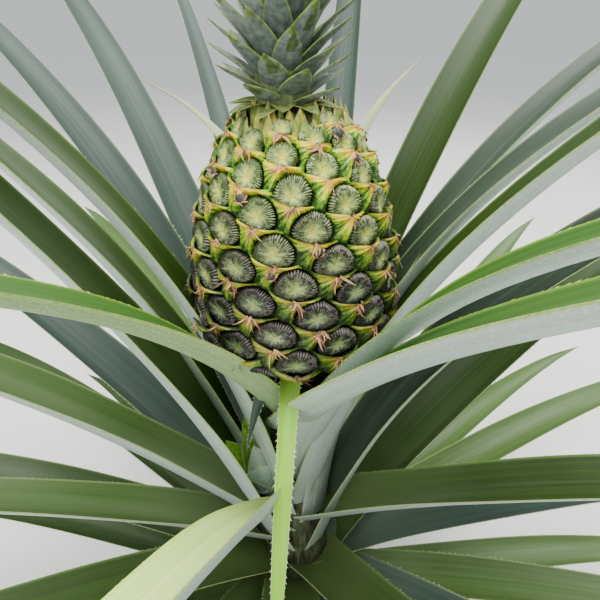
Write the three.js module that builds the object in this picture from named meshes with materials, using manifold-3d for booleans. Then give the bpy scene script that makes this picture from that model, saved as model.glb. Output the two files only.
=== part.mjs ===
/**
 * A fruiting pineapple plant, rooted in level ground.
 *
 * Millimetres, +Z up. The origin is the centre of the flat cut under the stem, at ground
 * level, and the side that the plant shows best faces -Y. A short thick stem carries a
 * spiral of long channelled leaves. Its tip runs on as a thin stalk with a few narrow
 * leaves, which carries the fruit, and the fruit carries a crown of short leaves.
 *
 * Angles are in degrees. A turn is counted from +X, counter-clockwise seen from above.
 */
import * as THREE from 'three';
import { mergeVertices } from 'three/addons/utils/BufferGeometryUtils.js';
import Module from 'manifold-3d';

const wasm = await Module();
wasm.setup();

// ---------------------------------------------------------------- driving dimensions

const CLEARANCE = 0.35;            // air between two pieces that touch on the living plant
const FINEST = 0.05;               // slivers finer than this are smoothed away
const GOLDEN_TURN = 137.5;         // turn from one leaf of a spiral to the next

const STEM_TOP = 235;
const STEM_SIDES = 16;
const STEM_PROFILE = [             // [height, radius], from the root flare to the tip
  [0, 37], [12, 33], [40, 30], [110, 31], [165, 28], [200, 22], [222, 15.5], [STEM_TOP, 12.5],
];

const STALK_RADIUS = 12;           // the peduncle, between the stem and the fruit
const STALK_SIDES = 14;
const FRUIT_FOOT = 386;            // height of the fruit's underside at its axis
const STALK_TOP = FRUIT_FOOT - CLEARANCE;

const FRUIT_TOP = 532;
const EYE_TURN = 137.63;           // turn from one eye to the next
const EYE_ZERO_TURN = 272.3;       // turn of eye 0, low on the front
const FIRST_EYE = -16;
const LAST_EYE = 112;
const FRUIT_PROFILE = [            // [eye number, radius, height] along the fruit's outline
  [-16, 25, 387.5], [-8, 51, 391], [0, 61, 400], [12, 63, 417.4], [32, 60.5, 445.5],
  [52, 55, 472.3], [70, 47, 495.5], [84, 37.5, 512.3], [97, 28.5, 523.5], [112, 18, 530.5],
];
const EYE_CROWNING = 1.6;          // how far an eye's middle stands out of the outline
const EYE_RIM_DEPTH = 4.2;         // how deep the groove between eyes lies inside it
const EYE_SHOULDER = 0.58;         // where the eye's dome turns down, from middle to groove

const COLLAR = { count: 13, radius: 29.5, height: 517.5, length: 17, width: 12, rise: 103 };

const CROWN = {
  offset: -5,                      // the crown sits a little left of the fruit's axis
  foot: FRUIT_TOP + CLEARANCE,
  firstLeaf: 535.5,
  leafStep: 1.55,                  // height from one leaf to the next
  leaves: 60,
  coreRadius: 15,
  coreTop: 632,
};

const SLIP = {
  turn: 207, radius: 29, foot: 228, lean: 9, leaves: 9, coreLength: 48, coreRadius: 10,
  openSide: 255,                   // turn of its outer side, where the leaves stand upright
};

// ---------------------------------------------------------------- materials

const material = (color, roughness) => new THREE.MeshStandardMaterial({ color, roughness, metalness: 0 });
const MATERIALS = {
  leaf: material(0x5d7f4c, 0.55),
  bract: material(0xa9c26a, 0.6),
  stem: material(0x7d8464, 0.8),
  fruit: material(0x8a8a52, 0.7),
  crown: material(0x76907c, 0.6),
};

// ---------------------------------------------------------------- small helpers

const radians = THREE.MathUtils.degToRad;
const lerp = THREE.MathUtils.lerp;

/** A seeded source of numbers between -1 and 1. */
function seededSpread(seed) {
  let state = seed;
  return () => {
    state = (state * 16807) % 2147483647;
    return (state / 2147483647) * 2 - 1;
  };
}

/** Smooth value of column `column` of `knots` at `at`, the knots' first column. */
function smoothThrough(knots, column, at) {
  const last = knots.length - 2;
  let k = 0;
  while (k < last && at > knots[k + 1][0]) k += 1;
  const slope = (i) => {
    const before = knots[Math.max(i - 1, 0)];
    const after = knots[Math.min(i + 1, knots.length - 1)];
    return (after[column] - before[column]) / (after[0] - before[0]);
  };
  const [from, to] = [knots[k], knots[k + 1]];
  const span = to[0] - from[0];
  const t = (at - from[0]) / span;
  const [t2, t3] = [t * t, t * t * t];
  return from[column] * (2 * t3 - 3 * t2 + 1) + slope(k) * span * (t3 - 2 * t2 + t)
    + to[column] * (3 * t2 - 2 * t3) + slope(k + 1) * span * (t3 - t2);
}

/** Point at a radius, turn and height about the plant's axis. */
function polar(radius, turn, height) {
  return new THREE.Vector3(
    radius * Math.cos(radians(turn)), radius * Math.sin(radians(turn)), height);
}

/** Six times the volume inside the triangles: negative when they face in. */
function signedVolume(points, triangles) {
  let sum = 0;
  for (const [a, b, c] of triangles) {
    sum += points[a].dot(new THREE.Vector3().crossVectors(points[b], points[c]));
  }
  return sum;
}

/** A closed solid from points and triangles, turned outward if it faces in. */
function solidFrom(points, triangles) {
  const inward = signedVolume(points, triangles) < 0;
  const faces = inward ? triangles.map(([a, b, c]) => [a, c, b]) : triangles;
  return new wasm.Manifold(new wasm.Mesh({
    numProp: 3,
    vertProperties: new Float32Array(points.flatMap((p) => [p.x, p.y, p.z])),
    triVerts: new Uint32Array(faces.flat()),
  }));
}

/** A closed solid from a three.js geometry. */
function solidFromGeometry(geometry) {
  const bare = geometry.index ? geometry.clone() : geometry;
  bare.deleteAttribute('normal');
  bare.deleteAttribute('uv');
  const merged = mergeVertices(bare, 1e-4);
  const position = merged.attributes.position;
  const points = [];
  for (let i = 0; i < position.count; i += 1) {
    points.push(new THREE.Vector3().fromBufferAttribute(position, i));
  }
  const triangles = [];
  for (let i = 0; i < merged.index.count; i += 3) {
    const [a, b, c] = [0, 1, 2].map((k) => merged.index.getX(i + k));
    if (a !== b && b !== c && c !== a) triangles.push([a, b, c]);
  }
  return solidFrom(points, triangles);
}

/** The largest of the bodies that a solid falls into. */
function largestBody(solid) {
  const bodies = solid.decompose();
  return bodies.reduce((best, body) => (body.volume() > best.volume() ? body : best)).simplify(FINEST);
}

/** A three.js mesh of a solid, under its node's name. */
function meshOf(name, solid, look) {
  const mesh = solid.getMesh();
  const geometry = new THREE.BufferGeometry();
  geometry.setAttribute('position', new THREE.BufferAttribute(mesh.vertProperties, 3));
  geometry.setIndex(new THREE.BufferAttribute(mesh.triVerts, 1));
  geometry.computeVertexNormals();
  const result = new THREE.Mesh(geometry, look);
  result.name = name;
  return result;
}

/** A turned solid about the plant's axis from [height, radius] pairs, `grow` mm fatter. */
function turnedSolid(profile, sides, grow = 0) {
  const [low, high] = [profile[0][0], profile[profile.length - 1][0]];
  const outline = profile.map(([height, radius]) => new THREE.Vector2(radius + grow, height));
  const points = [new THREE.Vector2(0, low - grow), ...outline, new THREE.Vector2(0, high + grow)];
  points[1].y -= grow;
  points[points.length - 2].y += grow;
  const lathe = new THREE.LatheGeometry(points, sides);
  lathe.rotateX(Math.PI / 2);
  return solidFromGeometry(lathe);
}

// ---------------------------------------------------------------- leaf blades

/** Half the breadth of a blade, as a share of its width, at `s` of its length. */
function bladeBreadth(blade, s) {
  const taper = (1 - s ** blade.fullness) * 0.82 + 0.18 * (1 - s);
  return 0.5 * taper * (1 + blade.sheath * Math.exp(-14 * s));
}

/** Direction in which a blade's keel runs at `s` of its length. */
function keelDirection(blade, s) {
  const elevation = radians(blade.rise - blade.droop * s ** blade.bend);
  const heading = radians(blade.turn + blade.sweep * s);
  return new THREE.Vector3(
    Math.cos(heading) * Math.cos(elevation), Math.sin(heading) * Math.cos(elevation), Math.sin(elevation));
}

/**
 * Frames along a blade's keel. The keel rises at `rise`, which falls by `droop` towards the
 * tip, and swings sideways by `sweep`. The wings stand up on both sides of the keel, and
 * the section is rolled about the keel by `roll`. Each stretch runs as its middle does.
 */
function bladeStations(blade, steps) {
  const stations = [];
  const point = polar(blade.radius, blade.turn, blade.height);
  const stride = blade.length / steps;
  for (let i = 0; i <= steps; i += 1) {
    const s = i / steps;
    const along = keelDirection(blade, s);
    const heading = radians(blade.turn + blade.sweep * s);
    const across = new THREE.Vector3(-Math.sin(heading), Math.cos(heading), 0)
      .applyAxisAngle(along, radians(blade.roll));
    const up = new THREE.Vector3().crossVectors(along, across);
    stations.push({ s, point: point.clone(), along, across, up });
    point.addScaledVector(keelDirection(blade, Math.min(s + 0.5 / steps, 1)), stride);
  }
  return stations;
}

/** A channelled blade as a closed solid of six-sided sections, `grow` mm fatter all round. */
function bladeSolid(blade, grow = 0) {
  const points = [];
  const triangles = [];
  const stations = bladeStations(blade, blade.steps);
  stations.forEach(({ s, point, along, across, up }, i) => {
    const half = Math.max(blade.width * bladeBreadth(blade, s), 1.2) + grow;
    const wing = blade.channel * 2 * half * (1 - 0.6 * s);
    const keel = blade.thickness * Math.min(1, 0.3 + 3.5 * (1 - s));
    const edge = 0.5 * keel;
    const end = (i === 0 ? -grow : 0) + (i === blade.steps ? grow : 0);
    const at = (sideways, lift) => point.clone()
      .addScaledVector(along, end).addScaledVector(across, sideways).addScaledVector(up, lift);
    points.push(at(half, wing + grow), at(0, grow), at(-half, wing + grow));
    points.push(at(-half, wing - edge - grow), at(0, -keel - grow), at(half, wing - edge - grow));
  });
  const sides = 6;
  for (let i = 0; i < blade.steps; i += 1) {
    for (let k = 0; k < sides; k += 1) {
      const [a, b] = [i * sides + k, i * sides + ((k + 1) % sides)];
      triangles.push([a, b, b + sides], [a, b + sides, a + sides]);
    }
  }
  const tip = blade.steps * sides;
  for (const [a, b, c] of [[0, 5, 1], [1, 5, 4], [1, 4, 2], [2, 4, 3]]) {
    triangles.push([a, b, c], [tip + a, tip + c, tip + b]);
  }
  return solidFrom(points, triangles);
}

/** A long leaf's blade with the plant's usual section, from the given row of sizes. */
function leafBlade(row) {
  return {
    radius: smoothThrough(STEM_PROFILE, 1, Math.min(row.height, STEM_TOP)) - 1,
    sweep: 0, roll: 0, bend: 1.5, steps: 8, fullness: 2.4, sheath: 0.12, channel: 0.32,
    thickness: row.length / 98, ...row,
  };
}

/** A small leaf of the crown or the slip: a short broad blade with four-sided sections. */
function shortBladeSolid(blade) {
  const points = [];
  const triangles = [];
  const sides = 4;
  bladeStations(blade, blade.steps).forEach(({ s, point, across, up }) => {
    const half = Math.max(blade.width * 0.5 * (1 - s ** blade.fullness), 0.5);
    const wing = blade.channel * half;
    const keel = blade.thickness * (1 - 0.6 * s);
    const at = (sideways, lift) => point.clone()
      .addScaledVector(across, sideways).addScaledVector(up, lift);
    points.push(at(half, wing), at(0, 0.3 * keel), at(-half, wing), at(0, -keel));
  });
  for (let i = 0; i < blade.steps; i += 1) {
    for (let k = 0; k < sides; k += 1) {
      const [a, b] = [i * sides + k, i * sides + ((k + 1) % sides)];
      triangles.push([a, b, b + sides], [a, b + sides, a + sides]);
    }
  }
  const tip = blade.steps * sides;
  for (const [a, b, c] of [[0, 3, 1], [1, 3, 2]]) {
    triangles.push([a, b, c], [tip + a, tip + c, tip + b]);
  }
  return solidFrom(points, triangles);
}

// ---------------------------------------------------------------- fruit

/** Point on the fruit at a place in the eyes' spiral, `lift` mm outside the outline. */
function fruitPoint(number, turn, lift) {
  const radius = smoothThrough(FRUIT_PROFILE, 1, number);
  const height = smoothThrough(FRUIT_PROFILE, 2, number);
  const step = 0.5;
  const dRadius = smoothThrough(FRUIT_PROFILE, 1, number + step) - smoothThrough(FRUIT_PROFILE, 1, number - step);
  const dHeight = smoothThrough(FRUIT_PROFILE, 2, number + step) - smoothThrough(FRUIT_PROFILE, 2, number - step);
  const size = Math.hypot(dRadius, dHeight);
  return polar(radius + (lift * dHeight) / size, turn, height - (lift * dRadius) / size);
}

/** The turn from an eye to the one `count` places on, as a small angle. */
function turnBetweenEyes(count) {
  const turn = count * EYE_TURN;
  return turn - 360 * Math.round(turn / 360);
}

/**
 * The fruit's body: one cell between each four neighbouring eyes n, n+8, n+21 and n+13.
 * Each eye is a low dome, and grooves run between the domes.
 */
function fruitBody() {
  const points = [];
  const triangles = [];
  const index = new Map();
  const vertex = (key, number, turn, lift) => {
    if (!index.has(key)) {
      index.set(key, points.length);
      points.push(fruitPoint(number, turn, lift));
    }
    return index.get(key);
  };
  const eye = (n) => ({ key: `eye${n}`, number: n, turn: EYE_ZERO_TURN + n * EYE_TURN, lift: EYE_CROWNING });
  const groove = (n, count) => ({
    key: `groove${n}+${count}`, number: n + count / 2,
    turn: EYE_ZERO_TURN + n * EYE_TURN + turnBetweenEyes(count) / 2, lift: -EYE_RIM_DEPTH,
  });
  const place = (spot) => vertex(spot.key, spot.number, spot.turn, spot.lift);
  const shoulder = (from, to) => {
    const away = to.turn - from.turn;
    const turn = from.turn + (away - 360 * Math.round(away / 360)) * EYE_SHOULDER;
    return vertex(`${from.key}>${to.key}`, lerp(from.number, to.number, EYE_SHOULDER), turn, 0.4);
  };
  for (let n = FIRST_EYE; n + 21 <= LAST_EYE; n += 1) {
    const middle = groove(n, 21);
    const ring = [
      eye(n), groove(n, 8), eye(n + 8), groove(n + 8, 13),
      eye(n + 21), groove(n + 13, 8), eye(n + 13), groove(n, 13),
    ];
    ring.forEach((spot, k) => {
      const next = ring[(k + 1) % ring.length];
      const [top, low] = spot.lift > 0 ? [spot, next] : [next, spot];
      const faces = [
        [place(top), shoulder(top, low), place(middle)],
        [shoulder(top, low), place(low), place(middle)],
      ];
      triangles.push(...(spot.lift > 0 ? faces : faces.map(([a, b, c]) => [a, c, b])));
    });
  }
  closeOnAxis(points, triangles);
  return solidFrom(points, triangles);
}

/** Closes the open rims at the fruit's foot and top with fans to a point on the axis. */
function closeOnAxis(points, triangles) {
  const edges = new Set(triangles.flatMap(([a, b, c]) => [`${a},${b}`, `${b},${c}`, `${c},${a}`]));
  const foot = points.push(new THREE.Vector3(0, 0, FRUIT_FOOT)) - 1;
  const top = points.push(new THREE.Vector3(0, 0, FRUIT_TOP)) - 1;
  const middleHeight = (FRUIT_FOOT + FRUIT_TOP) / 2;
  for (const edge of edges) {
    const [a, b] = edge.split(',').map(Number);
    if (!edges.has(`${b},${a}`)) triangles.push([b, a, points[a].z < middleHeight ? foot : top]);
  }
}

/** A smooth solid that holds the whole fruit, to cut leaves clear of it. */
function fruitEnvelope() {
  const outline = [];
  for (let n = FIRST_EYE; n <= LAST_EYE; n += 4) {
    const outside = fruitPoint(n, 0, EYE_CROWNING + 3 * CLEARANCE);
    outline.push([outside.z, outside.x]);
  }
  return turnedSolid(outline, 24);
}

/** The fruit with the collar of upright bracts round its top. */
function fruitSolid() {
  let solid = fruitBody();
  for (let k = 0; k < COLLAR.count; k += 1) {
    solid = solid.add(shortBladeSolid({
      radius: COLLAR.radius, height: COLLAR.height, turn: k * GOLDEN_TURN, rise: COLLAR.rise,
      droop: 0, bend: 1, sweep: 0, roll: 0, length: COLLAR.length, width: COLLAR.width,
      fullness: 1.6, channel: 0.25, thickness: 2.4, steps: 2,
    }));
  }
  return largestBody(solid);
}

// ---------------------------------------------------------------- crown and slip

/** Sizes of the crown's leaf number k, from the flat lowest ring to the upright tip. */
function crownLeaf(k, spread) {
  const up = k / (CROWN.leaves - 1);
  return {
    radius: lerp(CROWN.coreRadius - 4, 3, up ** 2), turn: 200 + k * GOLDEN_TURN,
    height: CROWN.firstLeaf + CROWN.leafStep * k,
    rise: lerp(5, 86, up ** 0.42) + 3 * spread(), droop: lerp(8, 20, Math.sin(Math.PI * up)),
    bend: 1.6, sweep: 6 * spread(), roll: 0,
    length: 25 + 40 * up * (1.6 - up) + 1.5 * spread(),
    width: lerp(17, 11.5, up), fullness: 2, channel: 0.4, thickness: 2.8, steps: 2,
  };
}

/** The crown: a tapering core with the spiral of short leaves fused on. */
function crownSolid() {
  const profile = [
    [CROWN.foot, CROWN.coreRadius], [CROWN.firstLeaf + 10, CROWN.coreRadius],
    [600, 10], [CROWN.coreTop, 3.5],
  ];
  let solid = turnedSolid(profile, 8);
  const spread = seededSpread(41);
  for (let k = 0; k < CROWN.leaves; k += 1) {
    solid = solid.add(shortBladeSolid(crownLeaf(k, spread)));
  }
  return largestBody(solid).translate([CROWN.offset, 0, 0]);
}

/** The slip: a small side rosette beside the stalk's foot. */
function slipSolid() {
  const profile = [[0, 5], [9, SLIP.coreRadius], [SLIP.coreLength, 4]];
  let solid = turnedSolid(profile, 8);
  const spread = seededSpread(17);
  for (let k = 0; k < SLIP.leaves; k += 1) {
    const up = k / (SLIP.leaves - 1);
    const turn = SLIP.openSide + k * GOLDEN_TURN;
    const facing = Math.max(0, Math.cos(radians(turn - SLIP.openSide)));
    solid = solid.add(shortBladeSolid({
      radius: lerp(9, 1.5, up), turn, height: lerp(2, 40, up),
      rise: lerp(lerp(58, 84, up), 96, facing) + 3 * spread(), droop: lerp(10, -4, facing), bend: 1.4,
      sweep: 0, roll: 0, length: lerp(34, 50, up), width: lerp(25, 13, up), fullness: 2,
      channel: 0.55, thickness: 2.6, steps: 2,
    }));
  }
  const foot = polar(SLIP.radius, SLIP.turn, SLIP.foot);
  const lean = new THREE.Vector3(-Math.sin(radians(SLIP.turn)), Math.cos(radians(SLIP.turn)), 0);
  const pose = new THREE.Matrix4().makeRotationAxis(lean, radians(SLIP.lean)).setPosition(foot);
  return largestBody(solid).transform(pose.elements);
}

// ---------------------------------------------------------------- the leaves' places

/** Narrow leaves of the fruit's stalk. */
const STALK_LEAVES = [
  { name: 'bract_front', turn: -92.7, height: 378, rise: -4, droop: 74, bend: 0.55, length: 236,
    width: 11.8, sweep: -5.4, fullness: 3.5, sheath: 0.1, channel: 0.2, steps: 9 },
  { name: 'bract_front_left', turn: -128, height: 379, rise: -38, droop: 34, bend: 0.7, length: 84,
    width: 15, fullness: 1.5, sheath: 0.1, channel: 0.25, steps: 4 },
  { name: 'bract_rear_left', turn: 86, height: 300, rise: 63.5, droop: 44, bend: 1.6, length: 318,
    width: 22, sweep: 78, fullness: 1.8, sheath: 0.2, channel: 0.25, steps: 8 },
  { name: 'bract_rear_right', turn: 84, height: 318, rise: 60.5, droop: 30.5, bend: 1.6, length: 301,
    width: 22, sweep: -49, fullness: 1.8, sheath: 0.2, channel: 0.25, steps: 8 },
];

/** The long leaves that show best, from the stem's tip outward. */
const PLACED_LEAVES = [
  { name: 'leaf_left_clasping', turn: -128.5, height: 303.5, rise: 61, droop: 79, length: 520, width: 34, sweep: 4, roll: 1 },
  { name: 'leaf_right_clasping', turn: -68, height: 295, rise: 56.5, droop: 34, length: 520, width: 44, sweep: 12, roll: 6 },
  { name: 'leaf_right_inner', turn: -51.5, height: 239, rise: 75, droop: 84, length: 560, width: 41, sweep: -2, roll: 6 },
  { name: 'leaf_front_left', turn: -103, height: 215, rise: 51, droop: 36, length: 560, width: 52, sweep: -2, roll: 29, sheath: -0.45 },
  { name: 'leaf_rear_right', turn: 34.5, height: 221, rise: 75.5, droop: 52, length: 700, width: 44, sweep: -2, roll: -2 },
  { name: 'leaf_right_high', turn: -25, height: 211, rise: 80, droop: 75, length: 640, width: 40 },
  { name: 'leaf_left_high', turn: 192.5, height: 201.5, rise: 82.5, droop: 71, length: 620, width: 42 },
  { name: 'leaf_rear_left_low', turn: 151, height: 202, rise: 71, droop: 62, length: 640, width: 38 },
  { name: 'leaf_rear_left', turn: 127.5, height: 192.5, rise: 63, droop: 45, length: 700, width: 44, sweep: 7 },
  { name: 'leaf_left_second', turn: 176, height: 186, rise: 74.5, droop: 61, length: 640, width: 41, sweep: 5, roll: 14 },
  { name: 'leaf_right_front', turn: -25, height: 184, rise: 42, droop: 41, length: 640, width: 47, roll: -10 },
  { name: 'leaf_right_second', turn: -5.5, height: 188, rise: 88, droop: 103, length: 640, width: 41, sweep: -4, roll: -4 },
  { name: 'leaf_left_broad', turn: -161, height: 158, rise: 75.5, droop: 34, length: 640, width: 52, sweep: 7, roll: -5 },
  { name: 'leaf_right_third', turn: 13.5, height: 177, rise: 86, droop: 97, length: 680, width: 42, sweep: -9, roll: -6 },
  { name: 'leaf_rear', turn: 77.5, height: 156, rise: 66.5, droop: 18, length: 740, width: 39, sweep: 4 },
  { name: 'leaf_left_third', turn: 190, height: 163, rise: 54, droop: 44, length: 660, width: 55, sweep: 6, roll: 16 },
  { name: 'leaf_right_broad', turn: -10, height: 160, rise: 78, droop: 86, length: 640, width: 48, sweep: 1, roll: 10 },
  { name: 'leaf_rear_upright', turn: 104.5, height: 149, rise: 59, droop: 28, length: 740, width: 34, sweep: 16, roll: 12 },
  { name: 'leaf_left_level', turn: -164, height: 146, rise: 37, droop: 45, length: 660, width: 46, sweep: 4, roll: 16 },
  { name: 'leaf_left_behind', turn: 160, height: 138, rise: 49, droop: 46, length: 640, width: 46 },
  { name: 'leaf_right_low', turn: 12, height: 104, rise: 63, droop: 49, length: 660, width: 49, roll: 5 },
];

const RING = { count: 28, firstTurn: -58, top: 128, bottom: 17, seed: 97 };

/** The older leaves of the lower rings, by the spiral rule. */
function ringLeaves() {
  const spread = seededSpread(RING.seed);
  return Array.from({ length: RING.count }, (_, k) => {
    const down = k / (RING.count - 1);
    const height = lerp(RING.top, RING.bottom, down);
    return {
      name: `leaf_ring_${String(k + 1).padStart(2, '0')}`,
      turn: RING.firstTurn + k * GOLDEN_TURN + 4 * spread(),
      height, radius: smoothThrough(STEM_PROFILE, 1, height) + CLEARANCE,
      rise: lerp(42, 15, down) + 2 * spread(), droop: lerp(46, 30, down) + 2 * spread(),
      length: lerp(640, 450, down) + 25 * spread(), width: lerp(47, 42, down),
      sweep: 6 * spread(), roll: 5 * spread(), steps: 7,
    };
  });
}

// ---------------------------------------------------------------- the plant

/** True where two solids' boxes come within the clearance of each other. */
function boxesMeet(a, b) {
  const [p, q] = [a.boundingBox(), b.boundingBox()];
  return [0, 1, 2].every((k) => p.min[k] < q.max[k] && q.min[k] < p.max[k]);
}

/** Cuts a solid clear of those that were placed before it. */
function cutClear(solid, placed) {
  let result = solid;
  for (const other of placed) {
    if (boxesMeet(result, other)) result = result.subtract(other);
  }
  return largestBody(result);
}

/** Builds every piece, from the axis outward, each cut clear of the ones before it. */
function buildPlant() {
  const plant = new THREE.Group();
  const placed = [];
  const stalkProfile = [[STEM_TOP + CLEARANCE, STALK_RADIUS], [STALK_TOP, STALK_RADIUS]];
  plant.add(meshOf('stem', turnedSolid(STEM_PROFILE, STEM_SIDES), MATERIALS.stem));
  placed.push(turnedSolid(STEM_PROFILE, STEM_SIDES, CLEARANCE));
  plant.add(meshOf('peduncle', turnedSolid(stalkProfile, STALK_SIDES), MATERIALS.stem));
  placed.push(turnedSolid(stalkProfile, STALK_SIDES, CLEARANCE));
  plant.add(meshOf('fruit', fruitSolid(), MATERIALS.fruit));
  placed.push(fruitEnvelope());
  plant.add(meshOf('crown', crownSolid(), MATERIALS.crown));
  for (const row of STALK_LEAVES) {
    const blade = leafBlade({ radius: STALK_RADIUS - 1, ...row });
    plant.add(meshOf(row.name, cutClear(bladeSolid(blade), placed), MATERIALS.bract));
    placed.push(bladeSolid(blade, CLEARANCE));
  }
  for (const row of [...PLACED_LEAVES, ...ringLeaves()]) {
    const blade = leafBlade(row);
    plant.add(meshOf(row.name, cutClear(bladeSolid(blade), placed), MATERIALS.leaf));
    placed.push(bladeSolid(blade, CLEARANCE));
  }
  plant.add(meshOf('slip', cutClear(slipSolid(), placed), MATERIALS.crown));
  return plant;
}

export default buildPlant();
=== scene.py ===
"""Looks of a fruiting pineapple plant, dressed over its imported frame.

Sizes are in millimetres until a mesh is made, when they become metres. Turns are in degrees from
+X, counter-clockwise seen from above, and the side that the plant shows best faces -Y. Every leaf
follows the same rule as the frame's solids, with a finer section, a toothed margin and a finish.
"""

import logging
import math
from collections.abc import Callable
from dataclasses import dataclass, field
from enum import Enum

import bpy
import numpy as np
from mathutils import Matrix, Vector


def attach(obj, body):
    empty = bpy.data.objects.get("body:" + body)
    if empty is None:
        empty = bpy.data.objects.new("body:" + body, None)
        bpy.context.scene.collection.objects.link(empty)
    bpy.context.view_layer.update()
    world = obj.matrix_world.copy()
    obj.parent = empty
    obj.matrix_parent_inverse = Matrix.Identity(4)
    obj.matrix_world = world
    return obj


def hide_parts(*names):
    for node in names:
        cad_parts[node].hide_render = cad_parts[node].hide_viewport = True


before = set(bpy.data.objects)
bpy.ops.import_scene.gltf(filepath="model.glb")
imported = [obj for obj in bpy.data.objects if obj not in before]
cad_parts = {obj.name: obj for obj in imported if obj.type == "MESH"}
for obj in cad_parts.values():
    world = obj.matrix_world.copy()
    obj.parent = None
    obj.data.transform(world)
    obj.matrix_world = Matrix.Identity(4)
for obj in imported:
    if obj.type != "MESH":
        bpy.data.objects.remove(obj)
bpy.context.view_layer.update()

LOG = logging.getLogger("pineapple")
MM = 0.001
GOLDEN_TURN = 137.5
BODY = "root"

STEM_TOP = 235.0
STEM_PROFILE = [(0, 37), (12, 33), (40, 30), (110, 31), (165, 28), (200, 22), (222, 15.5), (235, 12.5)]
STALK_RADIUS = 12.0
FRUIT_FOOT = 386.0
FRUIT_PROFILE = [
    (-28, 11, 387.0), (-16, 25, 387.5), (-8, 51, 391), (0, 61, 400), (12, 63, 417.4),
    (32, 60.5, 445.5), (52, 55, 472.3), (70, 47, 495.5), (84, 37.5, 512.3), (97, 28.5, 523.5),
    (112, 18, 530.5), (124, 8, 533.5),
]


# ---------------------------------------------------------------- small helpers

def linear(code: str) -> tuple[float, float, float, float]:
    """A linear colour from six hexadecimal digits.

    Args:
        code: The colour's digits, such as "5d7f4c".

    Returns:
        Red, green, blue and alpha as Blender reads them.
    """
    shares = [int(code[i:i + 2], 16) / 255 for i in (0, 2, 4)]
    values = [c / 12.92 if c <= 0.04045 else ((c + 0.055) / 1.055) ** 2.4 for c in shares]
    return (values[0], values[1], values[2], 1.0)


def between(low: float, high: float, share: float) -> float:
    """The value at a share of the way from low to high."""
    return low + (high - low) * share


def mixed(first: str, second: str, share: float) -> str:
    """The colour at a share of the way between two others, all as hexadecimal digits."""
    pairs = [(int(first[i:i + 2], 16), int(second[i:i + 2], 16)) for i in (0, 2, 4)]
    return "".join(f"{round(between(a, b, share)):02x}" for a, b in pairs)


def seeded_spread(seed: int) -> Callable[[], float]:
    """A source of numbers between -1 and 1, the same on each run.

    Args:
        seed: Where the series starts.

    Returns:
        A function that gives the next number.
    """
    state = [seed]

    def draw() -> float:
        """The next number of the series."""
        state[0] = (state[0] * 16807) % 2147483647
        return state[0] / 2147483647 * 2 - 1

    return draw


def smooth_through(knots: list, column: int, at: np.ndarray) -> np.ndarray:
    """Values of one column of knots at places along their first column.

    Args:
        knots: Rows of numbers, sorted by their first.
        column: Which number of the rows is read.
        at: The places.

    Returns:
        One value for each place, on a smooth curve through the knots.
    """
    rows = np.asarray(knots, dtype=float)
    places = np.clip(np.asarray(at, dtype=float), rows[0, 0], rows[-1, 0])
    k = np.clip(np.searchsorted(rows[:, 0], places, side="left") - 1, 0, len(rows) - 2)
    before = np.maximum(np.arange(len(rows)) - 1, 0)
    after = np.minimum(np.arange(len(rows)) + 1, len(rows) - 1)
    slopes = (rows[after, column] - rows[before, column]) / (rows[after, 0] - rows[before, 0])
    span = rows[k + 1, 0] - rows[k, 0]
    t = (places - rows[k, 0]) / span
    return (rows[k, column] * (2 * t ** 3 - 3 * t ** 2 + 1) + slopes[k] * span * (t ** 3 - 2 * t ** 2 + t)
            + rows[k + 1, column] * (3 * t ** 2 - 2 * t ** 3) + slopes[k + 1] * span * (t ** 3 - t ** 2))


def value_at(knots: list, column: int, at: float) -> float:
    """One value of a column of knots, at one place."""
    return float(smooth_through(knots, column, np.array([at]))[0])


def heading(angle: np.ndarray) -> np.ndarray:
    """The flat directions at angles in radians."""
    return np.stack([np.cos(angle), np.sin(angle)], axis=-1)


def enter(piece: bpy.types.Object, slot: str, *nodes: str) -> None:
    """Puts a finished piece into the frame.

    Args:
        piece: The finished piece.
        slot: The record's slot for its finish; not used.
        nodes: The frame's nodes that it stands for.
    """
    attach(piece, BODY)
    if nodes:
        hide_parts(*nodes)
    LOG.info("%s: %d faces for %s", piece.name, len(piece.data.polygons), ", ".join(nodes) or "no node")


# ---------------------------------------------------------------- finishes

Socket = bpy.types.NodeSocket


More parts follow.
